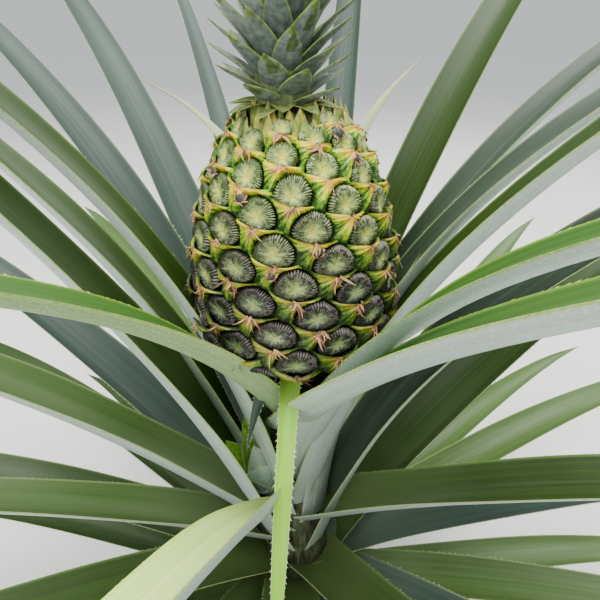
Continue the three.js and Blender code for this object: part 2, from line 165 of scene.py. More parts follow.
class NodeDesk:
    """A material's node tree with short ways to add to it."""

    def __init__(self, name: str) -> None:
        """Starts a material with an empty principled shader.

        Args:
            name: The material's name.
        """
        self.material = bpy.data.materials.new(name)
        self.material.use_nodes = True
        self.tree = self.material.node_tree
        self.shader = next(n for n in self.tree.nodes if n.type == "BSDF_PRINCIPLED")

    def feed(self, node: bpy.types.Node, inputs: dict) -> None:
        """Links or sets some inputs of a node.

        Args:
            node: The node.
            inputs: A socket or a plain value for each input's name or number.
        """
        for key, value in inputs.items():
            if isinstance(value, bpy.types.NodeSocket):
                self.tree.links.new(value, node.inputs[key])
            else:
                node.inputs[key].default_value = value

    def add(self, kind: str, inputs: dict, output: int | str, **values: object) -> Socket:
        """Adds a node.

        Args:
            kind: Its type, without the word in front.
            inputs: Values or sockets for its inputs.
            output: Which of its outputs is wanted.
            values: Its plain properties.

        Returns:
            The output's socket.
        """
        node = self.tree.nodes.new(f"ShaderNode{kind}")
        for key, value in values.items():
            setattr(node, key, value)
        self.feed(node, inputs)
        return node.outputs[output]

    def place(self, kind: str = "Object") -> Socket:
        """The socket of a kind of texture coordinates."""
        return self.add("TexCoord", {}, kind)

    def noise(self, place: Socket, scale: float, detail: float = 3.0, stretch: tuple = ()) -> Socket:
        """Adds a noise texture.

        Args:
            place: The socket that it reads its place from.
            scale: Its scale.
            detail: Its detail.
            stretch: Scales of the three axes before it, or nothing.

        Returns:
            The texture's factor.
        """
        if stretch:
            place = self.add("Mapping", {"Vector": place, "Scale": stretch}, "Vector")
        return self.add("TexNoise", {"Vector": place, "Scale": scale, "Detail": detail}, "Fac")

    def ranged(self, value: Socket, low: float, high: float, to_low: float = 0.0,
               to_high: float = 1.0) -> Socket:
        """A value carried from one range to another, held inside it."""
        ends = {"From Min": low, "From Max": high, "To Min": to_low, "To Max": to_high}
        return self.add("MapRange", {"Value": value, **ends}, "Result")

    def math(self, operation: str, *terms: Socket | float) -> Socket:
        """The result of a math node on sockets and numbers."""
        return self.add("Math", dict(enumerate(terms)), "Value", operation=operation)

    def blend(self, factor: Socket, first: Socket | str, second: Socket | str) -> Socket:
        """The mix of two colours, each a socket or hexadecimal digits, by a factor's socket."""
        ends = [linear(colour) if isinstance(colour, str) else colour for colour in (first, second)]
        return self.add("Mix", {0: factor, 6: ends[0], 7: ends[1]}, 2, data_type="RGBA")

    def finished(self, colour: Socket, rough: float, shine: float = 0.5,
                 relief: tuple = ()) -> bpy.types.Material:
        """Feeds the shader.

        Args:
            colour: The base colour's socket.
            rough: The roughness.
            shine: The specular level.
            relief: A height's socket, the bump's strength and its depth in metres, or nothing.

        Returns:
            The material.
        """
        self.feed(self.shader, {"Base Color": colour, "Roughness": rough, "Specular IOR Level": shine})
        if relief:
            bump = dict(zip(("Height", "Strength", "Distance"), relief))
            self.feed(self.shader, {"Normal": self.add("Bump", bump, "Normal")})
        return self.material


@dataclass(frozen=True)
class Finish:
    """A material with a name, made on its first use."""
    name: str

    def material(self) -> bpy.types.Material:
        """The finish as a material."""
        return bpy.data.materials.get(self.name) or self.made(NodeDesk(self.name))

    def made(self, desk: NodeDesk) -> bpy.types.Material:
        """Paints the material on a new desk."""
        raise NotImplementedError(self.name)


@dataclass(frozen=True)
class FleshFinish(Finish):
    """A plain tint with a fine mottle, for the many small parts that are joined.

    Attributes:
        tint: The base colour.
        rough: The shader's roughness.
        mottle: How far the mottle darkens and lightens the tint.
        grain: The mottle's scale, in cells a metre.
        relief: Strength of the fine bump.
    """
    tint: str
    rough: float = 0.5
    mottle: float = 0.22
    grain: float = 420.0
    relief: float = 0.25

    def made(self, desk: NodeDesk) -> bpy.types.Material:
        """Paints the tint and its mottle.

        Args:
            desk: The new material's desk.

        Returns:
            The finished material.
        """
        noise = desk.noise(desk.place(), self.grain, 4.0)
        dark = mixed(self.tint, "10140c", self.mottle)
        light = mixed(self.tint, "f4f4e4", self.mottle * 0.55)
        colour = desk.blend(desk.ranged(noise, 0.3, 0.7), dark, light)
        return desk.finished(colour, self.rough, 0.3, (noise, self.relief, 0.0004))


@dataclass(frozen=True)
class BladeFinish(Finish):
    """A long leaf's surface, with lengthwise stripes on the blade's own UV map.

    Attributes:
        deep: Colour of the stripes' dark lines.
        fair: Colour of the stripes' light lines.
        bloom_sheen: Colour of the streaks that lie over them, partly the leaf's waxy bloom and
        partly a painted sheen of reflected sky.
        foot: Colour near the stem.
        rim: Colour beside the margins.
        bloom_sheen_share: How much of the blade the bloom and its painted sheen cover, from 0 to 1.
        rough: The shader's roughness.
        speckle: Strength of a fine pale speckle.
        shine: The shader's specular level.
    """
    deep: str
    fair: str
    bloom_sheen: str
    foot: str
    rim: str
    bloom_sheen_share: float = 0.35
    rough: float = 0.42
    speckle: float = 0.0
    shine: float = 0.4

    def made(self, desk: NodeDesk) -> bpy.types.Material:
        """Paints the stripes, then over them the bloom with its painted sheen, the rim, the foot
        and the speckle.

        Args:
            desk: The new material's desk.

        Returns:
            The finished material.
        """
        flat, place = desk.place("UV"), desk.place()
        along, across = (desk.add("SeparateXYZ", {"Vector": flat}, axis) for axis in "XY")
        lines = desk.noise(flat, 1.0, 4.0, (1.6, 46.0, 1.0))
        # Streaks of the bloom colour: partly the leaf's waxy bloom, partly painted sheen of reflected sky.
        bands = desk.noise(flat, 1.0, 2.0, (2.2, 9.0, 1.0))
        low = 0.62 - 0.3 * self.bloom_sheen_share
        edge = desk.math("ABSOLUTE", desk.math("MULTIPLY_ADD", across, 2.0, -1.0))
        colour = desk.blend(desk.ranged(lines, 0.3, 0.7), self.deep, self.fair)
        colour = desk.blend(desk.ranged(bands, low, low + 0.36, 0.0, 0.6), colour, self.bloom_sheen)
        colour = desk.blend(desk.ranged(edge, 0.78, 1.0, 0.0, 0.7), colour, self.rim)
        colour = desk.blend(desk.ranged(along, 0.02, 0.24, 0.85, 0.0), colour, self.foot)
        if self.speckle:
            dots = desk.noise(place, 900.0, 2.0)
            colour = desk.blend(desk.ranged(dots, 0.52, 0.68, 0.0, self.speckle), colour, "eef2e6")
        # Broad patches drift toward the same colour, waxy bloom with painted sheen.
        drift = desk.ranged(desk.noise(place, 9.0, 2.0), 0.35, 0.7, 0.0, 0.22)
        colour = desk.blend(drift, colour, self.bloom_sheen)
        return desk.finished(colour, self.rough, self.shine, (lines, 0.16, 0.0006))


@dataclass(frozen=True)
class BarkFinish(Finish):
    """The fibrous skin of the stem and the stalk.

    Attributes:
        deep: Colour of the hollows.
        fair: Colour of the fibres.
        rough: The shader's roughness.
    """
    deep: str
    fair: str
    rough: float = 0.75

    def made(self, desk: NodeDesk) -> bpy.types.Material:
        """Paints the fibres and some darker patches.

        Args:
            desk: The new material's desk.

        Returns:
            The finished material.
        """
        fibres = desk.noise(desk.place(), 380.0, 5.0, (1.0, 1.0, 0.12))
        patches = desk.ranged(desk.noise(desk.place(), 45.0, 2.0), 0.4, 0.75, 0.0, 0.4)
        colour = desk.blend(desk.ranged(fibres, 0.35, 0.66), self.deep, self.fair)
        return desk.finished(desk.blend(patches, colour, self.deep), self.rough, 0.5, (fibres, 0.5, 0.0008))


class Tone(Enum):
    """The looks that a long leaf's upper side may have."""
    DARK = "dark"
    MID = "mid"
    LIME = "lime"
    BLUE = "blue"
    FRESH = "fresh"
    GRASS = "grass"
    PALE = "pale"
    DUSK = "dusk"


UPPER_FINISHES = {
    Tone.DARK: BladeFinish("leaf_upper_dark", "1a2d06", "31490f", "4a5f3c", "55683a", "6f8f45", 0.15),
    Tone.MID: BladeFinish("leaf_upper_mid", "36501c", "4f6a30", "64784f", "6f8258", "8fa866", 0.3),
    Tone.LIME: BladeFinish("leaf_upper_lime", "2a4d16", "44702a", "5f8444", "647c4a", "8cb43c", 0.2),
    Tone.BLUE: BladeFinish("leaf_upper_blue", "1c2c24", "34463b", "4e6056", "5a6a56", "8a9e70", 0.5, 0.55),
    Tone.DUSK: BladeFinish("leaf_upper_dusk", "1d2a18", "35442f", "55635e", "55654a", "7f9660", 0.45),
    # The fresh lit tone: a yellow-green leaf, painted brighter for the light that falls on it.
    Tone.FRESH: BladeFinish("leaf_upper_fresh_lit", "b0d45e", "d8f28e", "e8f8b4", "8ea45c", "c2e45c", 0.4),
    Tone.GRASS: BladeFinish("leaf_upper_grass", "6cac16", "a0d438", "bce46c", "344430", "f4f6d0", 0.2),
    Tone.PALE: BladeFinish("leaf_upper_pale", "7b8c60", "98a674", "a9b58c", "8a9a70", "b4c47c", 0.4),
}
UNDER_FINISH = BladeFinish("leaf_under", "9aaea0", "bccdc3", "d6e2dc", "9aa697", "a3b878", 0.55, 0.5, 0.4)
GREEN_UNDER = BladeFinish(
    "leaf_under_green", "7c9a68", "9cb686", "b6c9a4", "8a9c7c", "a9c25c", 0.45, 0.5, 0.35)
STALK_LEAF_UNDER = BladeFinish(
    "bract_under", "7f9a5c", "a3ba7c", "b9c9a0", "8aa070", "dfe8b4", 0.4, 0.5, 0.2)
UNDER_FINISHES = {Tone.GRASS: STALK_LEAF_UNDER, Tone.PALE: STALK_LEAF_UNDER}
MARGIN_GREEN = FleshFinish("leaf_margin", "a9bd7c", 0.45, 0.18, 600.0)


# ---------------------------------------------------------------- shapes modelled once

# A pattern's top is at z 0 and its under side at -1; its rim's faces lie between.
MID_DEPTH = -0.5
RIM_DEPTHS = (-0.75, -0.25)


@dataclass(frozen=True)
class Pattern:
    """A small shape that was modelled once, kept as arrays to be copied.

    Attributes:
        points: Its vertices.
        loops: The vertex of each face corner, face after face.
        sizes: How many corners each face has.
        flat: The UV place of each corner.
    """
    points: np.ndarray
    loops: np.ndarray
    sizes: np.ndarray
    flat: np.ndarray

    @classmethod
    def taken(cls) -> "Pattern":
        """Reads the active object into arrays and removes it.

        Returns:
            The pattern.
        """
        source = bpy.context.object
        mesh = source.data
        points = np.empty(len(mesh.vertices) * 3)
        mesh.vertices.foreach_get("co", points)
        loops = np.empty(len(mesh.loops), dtype=np.int64)
        mesh.loops.foreach_get("vertex_index", loops)
        sizes = np.empty(len(mesh.polygons), dtype=np.int64)
        mesh.polygons.foreach_get("loop_total", sizes)
        flat = np.zeros(len(mesh.loops) * 2)
        if mesh.uv_layers:
            mesh.uv_layers.active.data.foreach_get("uv", flat)
        bpy.data.objects.remove(source)
        bpy.data.meshes.remove(mesh)
        return cls(points.reshape(-1, 3), loops, sizes, flat.reshape(-1, 2))

    def face_centres(self) -> np.ndarray:
        """Finds the middles of the faces.

        Returns:
            The mean of each face's corners.
        """
        owners = np.repeat(np.arange(len(self.sizes)), self.sizes)
        centres = np.zeros((len(self.sizes), 3))
        np.add.at(centres, owners, self.points[self.loops])
        return centres / self.sizes[:, None]


def ring_started(sides: int, radius: float, fill: str = "NGON", height: float = 0.0) -> bpy.types.Object:
    """Adds a level circle of vertices, all selected in edit mode.

    Args:
        sides: How many vertices.
        radius: Its radius in metres.
        fill: How it is filled.
        height: Its height in metres.

    Returns:
        The new object.
    """
    bpy.ops.object.select_all(action="DESELECT")
    bpy.ops.mesh.primitive_circle_add(
        vertices=sides, radius=radius, fill_type=fill, location=(0, 0, height))
    bpy.ops.object.transform_apply(location=True, rotation=False, scale=False)
    bpy.ops.object.mode_set(mode="EDIT")
    bpy.ops.mesh.select_all(action="SELECT")
    return bpy.context.object


def extrude_up(rise: float) -> None:
    """Extrudes the selected faces along z."""
    bpy.ops.mesh.extrude_region_move(TRANSFORM_OT_translate={"value": (0, 0, rise)})


def close_point() -> None:
    """Draws the selected rim together in one point."""
    bpy.ops.mesh.extrude_edges_move()
    bpy.ops.mesh.merge(type="CENTER")


def turn_outward() -> None:
    """Turns the faces of the piece in edit mode outward, and leaves edit mode."""
    bpy.ops.mesh.select_all(action="SELECT")
    bpy.ops.mesh.normals_make_consistent(inside=False)
    bpy.ops.object.mode_set(mode="OBJECT")


def sheet_pattern(steps: int, ranks: list) -> Pattern:
    """A flat closed sheet, x from 0 to 1 and y over the ranks, with z 0 above and -1 below.

    Args:
        steps: Faces along x.
        ranks: The places of the rows across, from the first to the last.

    Returns:
        The sheet as a pattern, with its UV map running along it and across it.
    """
    bpy.ops.object.select_all(action="DESELECT")
    bpy.ops.mesh.primitive_grid_add(x_subdivisions=steps, y_subdivisions=len(ranks) - 1, size=1.0)
    sheet = bpy.context.object
    for vertex in sheet.data.vertices:
        vertex.co.x += 0.5
        vertex.co.y = ranks[round((vertex.co.y + 0.5) * (len(ranks) - 1))]
    wall = sheet.modifiers.new("wall", "SOLIDIFY")
    wall.thickness = 1.0
    wall.offset = -1.0
    bpy.ops.object.modifier_apply(modifier=wall.name)
    return Pattern.taken()


def disc_pattern(sides: int, radii: list) -> Pattern:
    """A round cushion: rings of faces on top, and a cone of faces below that closes it.

    Args:
        sides: Faces in a ring.
        radii: The rings' radii from the rim, 1, to the last before the middle.

    Returns:
        The cushion as a pattern, with z 0 on top and -1 below.
    """
    disc = ring_started(sides, 1.0, "NOTHING")
    for outer, inner in zip(radii, radii[1:]):
        bpy.ops.mesh.extrude_edges_move()
        bpy.ops.transform.resize(value=(inner / outer,) * 3, center_override=(0, 0, 0))
    close_point()
    bpy.ops.mesh.select_all(action="DESELECT")
    bpy.ops.object.mode_set(mode="OBJECT")
    for vertex in disc.data.vertices:
        vertex.select = abs(math.hypot(vertex.co.x, vertex.co.y) - 1.0) < 1e-4
    bpy.ops.object.mode_set(mode="EDIT")
    bpy.ops.mesh.extrude_edges_move(TRANSFORM_OT_translate={"value": (0, 0, -1)})
    bpy.ops.transform.resize(value=(0.8, 0.8, 1.0), center_override=(0, 0, 0))
    close_point()
    turn_outward()
    return Pattern.taken()


def spike_pattern(sides: int, sections: list) -> Pattern:
    """A spike along z from 0 to 1, closed at its foot and pointed at its tip.

    Args:
        sides: Faces round it.
        sections: Pairs of height and radius, from the foot to the last before the tip.

    Returns:
        The spike as a pattern.
    """
    ring_started(sides, sections[0][1])
    for (low, wide), (high, narrow) in zip(sections, sections[1:]):
        extrude_up(high - low)
        bpy.ops.transform.resize(value=(narrow / wide, narrow / wide, 1.0), center_override=(0, 0, high))
    extrude_up(1.0 - sections[-1][0])
    bpy.ops.mesh.merge(type="CENTER")
    turn_outward()
    return Pattern.taken()


class Gathering:
    """Copies of patterns, joined as they come into one mesh."""

    def __init__(self) -> None:
        """Starts with nothing gathered."""
        self.copies: list = []
        self.count = 0

    def add(self, points: np.ndarray, pattern: Pattern, slots: np.ndarray | int) -> None:
        """Adds one copy of a pattern.

        Args:
            points: The copy's vertices, in millimetres.
            pattern: What it is a copy of.
            slots: The material slot of each of its faces, or one for them all.
        """
        slots = np.broadcast_to(np.asarray(slots), pattern.sizes.shape)
        self.copies.append((points, pattern.loops + self.count, pattern.sizes, pattern.flat, slots))
        self.count += len(points)

    def piece(self, name: str, finishes: list, smooth_angle: float = 180.0) -> bpy.types.Object:
        """Makes the piece.

        Args:
            name: Its name.
            finishes: Its finishes, in the order of their slots.
            smooth_angle: Edges sharper than this stay sharp, in degrees.

        Returns:
            The new object.
        """
        points, loops, sizes, flat, slots = (np.concatenate(part) for part in zip(*self.copies))
        mesh = bpy.data.meshes.new(name)
        mesh.vertices.add(len(points))
        mesh.vertices.foreach_set("co", (points * MM).ravel())
        mesh.loops.add(len(loops))
        mesh.loops.foreach_set("vertex_index", loops)
        mesh.polygons.add(len(sizes))
        mesh.polygons.foreach_set("loop_start", np.concatenate(([0], np.cumsum(sizes)[:-1])))
        mesh.uv_layers.new(name="blade").data.foreach_set("uv", flat.ravel())
        mesh.update(calc_edges=True)
        for finish in finishes:
            mesh.materials.append(finish.material())
        mesh.polygons.foreach_set("material_index", slots.astype(np.int32))
        mesh.validate()
        piece = bpy.data.objects.new(name, mesh)
        bpy.context.scene.collection.objects.link(piece)
        bpy.ops.object.select_all(action="DESELECT")
        piece.select_set(True)
        bpy.context.view_layer.objects.active = piece
        bpy.ops.object.shade_smooth_by_angle(angle=math.radians(smooth_angle))
        return piece


# ---------------------------------------------------------------- leaf blades

@dataclass(frozen=True)
class Blade:
    """One leaf by the plant's rule: a keel that rises and droops, with wings on both sides.

    Attributes:
        name: The leaf's name.
        turn: Where it points, in degrees.
        height: Height of its foot.
        rise: The keel's angle over level at its foot.
        droop: How far that angle falls by the tip.
        length: Length of the keel.
        width: Greatest breadth.
        radius: The foot's distance from the axis.
        sweep: How far it swings sideways by the tip.
        roll: Turn of its section about the keel.
        bend: Power of the droop along the length.
        steps: Straight stretches of the keel in the frame's solid.
        fullness: How long it keeps its breadth.
        sheath: Extra breadth at the foot.
        channel: Height of the wings for their breadth.
        thickness: Thickness at the keel.
        wave: Height of the waves in its margins.
        least: Least half breadth, at the tip.
        sheath_fade: How soon the extra breadth ends.
    """
    name: str
    turn: float
    height: float
    rise: float
    droop: float
    length: float
    width: float
    radius: float
    sweep: float = 0.0
    roll: float = 0.0
    bend: float = 1.5
    steps: int = 8
    fullness: float = 2.4
    sheath: float = 0.2
    channel: float = 0.32
    thickness: float = 2.6
    wave: float = 1.2
    least: float = 0.5
    sheath_fade: float = 14.0

    def axes(self, s: np.ndarray) -> tuple[np.ndarray, np.ndarray, np.ndarray]:
        """Finds the section's directions.

        Args:
            s: Shares of the keel's length.

        Returns:
            The directions along, across and up from the keel.
        """
        elevation = np.radians(self.rise - self.droop * s ** self.bend)
        turn = np.radians(self.turn + self.sweep * s)
        along = np.stack([np.cos(turn) * np.cos(elevation), np.sin(turn) * np.cos(elevation),
                          np.sin(elevation)], axis=-1)
        level = np.stack([-np.sin(turn), np.cos(turn), np.zeros_like(s)], axis=-1)
        roll = math.radians(self.roll)
        across = level * math.cos(roll) + np.cross(along, level) * math.sin(roll)
        return along, across, np.cross(along, across)

    def keel(self, s: np.ndarray) -> np.ndarray:
        """Follows the keel.

        Args:
            s: Shares of its length.

        Returns:
            Points on a smooth curve through the ends of its straight stretches.
        """
        stops = (np.arange(self.steps) + 0.5) / self.steps
        strides = self.axes(stops)[0] * (self.length / self.steps)
        foot = np.array([self.radius * math.cos(math.radians(self.turn)),
                         self.radius * math.sin(math.radians(self.turn)), self.height])
        knots = np.concatenate(([foot], foot + np.cumsum(strides, axis=0)))
        knots = np.vstack([2 * knots[0] - knots[1], knots, 2 * knots[-1] - knots[-2]])
        k = np.clip((s * self.steps).astype(int), 0, self.steps - 1)
        t = (s * self.steps - k)[..., None]
        a, b, c, d = (knots[k + i] for i in range(4))
        return 0.5 * (2 * b + (c - a) * t + (2 * a - 5 * b + 4 * c - d) * t ** 2
                      + (3 * b - a - 3 * c + d) * t ** 3)

    def surface(self, s: np.ndarray, u: np.ndarray, depth: np.ndarray) -> np.ndarray:
        """Points of the blade.

        Args:
            s: Shares of its length.
            u: Places across, from -1 at one margin to 1 at the other.
            depth: 0 on the upper side and 1 on the under side.

        Returns:
            One point for each place.
        """
        _, across, up = self.axes(s)
        taper = (1 - s ** self.fullness) * 0.82 + 0.18 * (1 - s)
        foot = 1 + self.sheath * np.exp(-self.sheath_fade * s)
        half = np.maximum(self.width * 0.5 * taper * foot, self.least)
        wing = self.channel * 2 * half * (1 - 0.6 * s)
        ripple = self.wave * np.sin(s * self.length / 34 + self.turn + u) * np.abs(u) ** 2
        ripple = ripple * np.minimum(1, 6 * s)
        keel_depth = self.thickness * (1 - 0.72 * np.abs(u) ** 1.5) * np.minimum(1, 0.25 + 3 * (1 - s))
        lift = wing * np.abs(u) ** 2.0 + ripple * (1 - s) - keel_depth * depth
        return self.keel(s) + across * (half * u)[..., None] + up * lift[..., None]

    def shaped(self, pattern: Pattern) -> np.ndarray:
        """The vertices of a sheet pattern laid on this blade."""
        p = pattern.points
        return self.surface(p[:, 0], p[:, 1], -p[:, 2])

    def teeth(self, pattern: Pattern, side: int, spacing: float, size: float) -> np.ndarray:
        """Copies of a spike along one margin, pointing out and forward.

        Args:
            pattern: The spike.
            side: 1 or -1.
            spacing: Distance between teeth.
            size: A tooth's length.

        Returns:
            The vertices of all the copies, copy by copy.
        """
        count = int(self.length * 0.94 / spacing)
        jitter = seeded_spread(int(abs(self.turn) * 10) + 7 + side)
        places = np.array([0.05 + 0.93 * (i + 0.5 + 0.3 * jitter()) / count for i in range(count)])
        along, across, up = self.axes(places)
        root = self.surface(places, np.full(count, 0.985 * side), np.full(count, 0.5))
        reach = np.array([size * (1 + 0.35 * jitter()) for _ in range(count)]) * (1.05 - 0.6 * places)
        out = across * side * 0.72 + along * 0.62 + up * 0.25
        first, second = (up, along) if side > 0 else (along, up)
        p = pattern.points
        wide = (0.45, 1.0) if side > 0 else (1.0, 0.45)
        return (root[:, None] + out[:, None] * (p[None, :, 2:] * reach[:, None, None])
                + first[:, None] * (p[None, :, :1] * wide[0] * size * 0.42)
                + second[:, None] * (p[None, :, 1:2] * wide[1] * size * 0.42))


RANKS = [-1, -0.94, -0.75, -0.5, -0.25, 0, 0.25, 0.5, 0.75, 0.94, 1]

STALK_LEAVES = [
    ("bract_front", Tone.GRASS, dict(
        turn=-92.7, height=378, rise=-4, droop=74, bend=0.55, length=236, width=11.8, sweep=-5.4,
        fullness=3.5, sheath=0.55, channel=0.2, steps=9, wave=0.5, thickness=1.8, sheath_fade=11)),
    ("bract_front_left", Tone.BLUE, dict(
        turn=-128, height=379, rise=-38, droop=34, bend=0.7, length=84, width=15, fullness=1.5,
        sheath=0.1, channel=0.25, steps=4, wave=0.3, thickness=1.6)),
    ("bract_rear_left", Tone.PALE, dict(
        turn=86, height=300, rise=63.5, droop=44, bend=1.6, length=318, width=27, sweep=78,
        fullness=1.8, sheath=0.2, channel=0.25, steps=8, wave=0.6, thickness=2.0)),
    ("bract_rear_right", Tone.PALE, dict(
        turn=84, height=318, rise=60.5, droop=30.5, bend=1.6, length=301, width=27, sweep=-49,
        fullness=1.8, sheath=0.2, channel=0.25, steps=8, wave=0.6, thickness=2.0)),
]

PLACED_LEAVES = [
    # name, tone, turn, height, rise, droop, length, width, sweep, roll
    ("left_clasping", Tone.LIME, -128.5, 303.5, 61, 79, 520, 34, 4, 1),
    ("right_clasping", Tone.LIME, -68, 295, 56.5, 34, 520, 44, 12, 6),
    ("right_inner", Tone.LIME, -51.5, 239, 75, 84, 560, 41, -2, 6),
    ("front_left", Tone.FRESH, -103, 215, 51, 36, 560, 52, -2, 29),
    ("rear_right", Tone.DARK, 34.5, 221, 75.5, 52, 700, 44, -2, -2),
    ("right_high", Tone.DARK, -25, 211, 80, 75, 640, 40, 0, 0),
    ("left_high", Tone.DARK, 192.5, 201.5, 82.5, 71, 620, 42, 0, 0),
    ("rear_left_low", Tone.BLUE, 151, 202, 71, 62, 640, 38, 0, 0),
    ("rear_left", Tone.BLUE, 127.5, 192.5, 63, 45, 700, 44, 7, 0),
    ("left_second", Tone.DARK, 176, 186, 74.5, 61, 640, 41, 5, 14),
    ("right_front", Tone.DARK, -25, 184, 42, 41, 640, 47, 0, -10),
    ("right_second", Tone.DUSK, -5.5, 188, 88, 103, 640, 41, -4, -4),
    ("left_broad", Tone.DARK, -161, 158, 75.5, 34, 640, 52, 7, -5),
    ("right_third", Tone.DUSK, 13.5, 177, 86, 97, 680, 42, -9, -6),
    ("rear", Tone.BLUE, 77.5, 156, 66.5, 18, 740, 39, 4, 0),
    ("left_third", Tone.MID, 190, 163, 54, 44, 660, 55, 6, 16),
    ("right_broad", Tone.DUSK, -10, 160, 78, 86, 640, 48, 1, 10),
    ("rear_upright", Tone.BLUE, 104.5, 149, 59, 28, 740, 34, 16, 12),
    ("left_level", Tone.MID, -164, 146, 37, 45, 660, 46, 4, 16),
    ("left_behind", Tone.BLUE, 160, 138, 49, 46, 640, 46, 0, 0),
    ("right_low", Tone.DARK, 12, 104, 63, 49, 660, 49, 0, 5),
]
# Extra breadth at the foot and how soon it ends, where it isn't the usual.
FOOT_SPREADS = {"front_left": (-0.92, 8.0)}
# Tints of the margins' teeth, the slot of each tone's, and how much closer and longer the lime ones are.
TOOTH_TINTS = {"tooth_green": "b4c874", "tooth_pale": "d3deb4", "tooth_lime": "b6d23a"}
TOOTH_SLOTS = {Tone.BLUE: 1, Tone.GRASS: 1, Tone.LIME: 2}
LIME_CLOSENESS = 0.7
UPPER, UNDER, MARGIN = range(3)


def stem_radius(height: float) -> float:
    """The stem's radius at a height."""
    return value_at(STEM_PROFILE, 1, height)


@dataclass
class Rosette:
    """The long leaves, each a piece of its own, with the teeth of their margins joined.

    Attributes:
        ring_count: Leaves of the lower rings.
        ring_first_turn: Where the first of them points.
        ring_seed: Where the rings' seeded series starts.
        tooth_spacing: Distance between the teeth of a margin.
        tooth_size: A tooth's length.
        blades: The leaves with their looks and slots.
    """
    ring_count: int = 28
    ring_first_turn: float = -58
    ring_seed: int = 97
    tooth_spacing: float = 4.6
    tooth_size: float = 2.1
    blades: list = field(default_factory=list)

    def placed(self) -> None:
        """Lists the narrow leaves of the stalk, then the leaves that show best."""
        for name, tone, sizes in STALK_LEAVES:
            self.blades.append((Blade(name=name, radius=STALK_RADIUS - 1, **sizes), tone, "bract"))
        for name, tone, turn, height, rise, droop, length, width, sweep, roll in PLACED_LEAVES:
            foot = stem_radius(min(height, STEM_TOP)) - 1
            spread, fade = FOOT_SPREADS.get(name, (0.2, 14.0))
            blade = Blade(f"leaf_{name}", turn, height, rise, droop, length, width, foot, sweep, roll,
                          sheath=spread, sheath_fade=fade)
            self.blades.append((blade, tone, "leaf"))

    def rings(self) -> None:
        """Lists the older leaves of the lower rings, by the spiral rule."""
        spread = seeded_spread(self.ring_seed)
        tones = [Tone.DARK, Tone.MID, Tone.DARK, Tone.BLUE, Tone.MID]
        for k in range(self.ring_count):
            down = k / (self.ring_count - 1)
            height = between(128, 17, down)
            turn = self.ring_first_turn + k * GOLDEN_TURN + 4 * spread()
            rise = between(42, 15, down) + 2 * spread()
            droop = between(46, 30, down) + 2 * spread()
            length = between(640, 450, down) + 25 * spread()
            blade = Blade(f"leaf_ring_{k + 1:02d}", turn, height, rise, droop, length,
                          between(47, 42, down), stem_radius(height) + 0.35, 6 * spread(), 5 * spread(),
                          steps=7)
            self.blades.append((blade, tones[k % len(tones)], "leaf"))

    def build(self) -> None:
        """Builds every blade and the teeth."""
        self.placed()
        self.rings()
        pattern = sheet_pattern(46, RANKS)
        depth = pattern.face_centres()[:, 2]
        slots = np.where(depth < RIM_DEPTHS[0], UNDER, np.where(depth < RIM_DEPTHS[1], MARGIN, UPPER))
        tooth = spike_pattern(3, [(0.0, 1.0)])
        teeth = Gathering()
        for blade, tone, slot in self.blades:
            self.dress(blade, tone, slot, pattern, slots)
            close = LIME_CLOSENESS if tone is Tone.LIME else 1.0
            spacing, size = self.tooth_spacing * close, self.tooth_size * (2 - close)
            for side in (-1, 1):
                for copy in blade.teeth(tooth, side, spacing, size):
                    teeth.add(copy, tooth, TOOTH_SLOTS.get(tone, 0))
        finishes = [FleshFinish(name, tint, 0.45) for name, tint in TOOTH_TINTS.items()]
        enter(teeth.piece("leaf_teeth", finishes, 30), "leaf")

    def dress(self, blade: Blade, tone: Tone, slot: str, pattern: Pattern, slots: np.ndarray) -> None:
        """Makes one blade's piece.

        Args:
            blade: The leaf.
            tone: The look of its upper side.
            slot: The record's slot for it.
            pattern: The flat sheet that it is shaped from.
            slots: The material slot of each of the sheet's faces.
        """
        lone = Gathering()
        lone.add(blade.shaped(pattern), pattern, slots)
        below = UNDER_FINISHES.get(tone, UNDER_FINISH)
        if blade.name == "leaf_left_clasping":
            below = GREEN_UNDER
        piece = lone.piece(f"{blade.name}_blade", [UPPER_FINISHES[tone], below, MARGIN_GREEN], 50)
        enter(piece, slot, blade.name)


# ---------------------------------------------------------------- stem and stalk

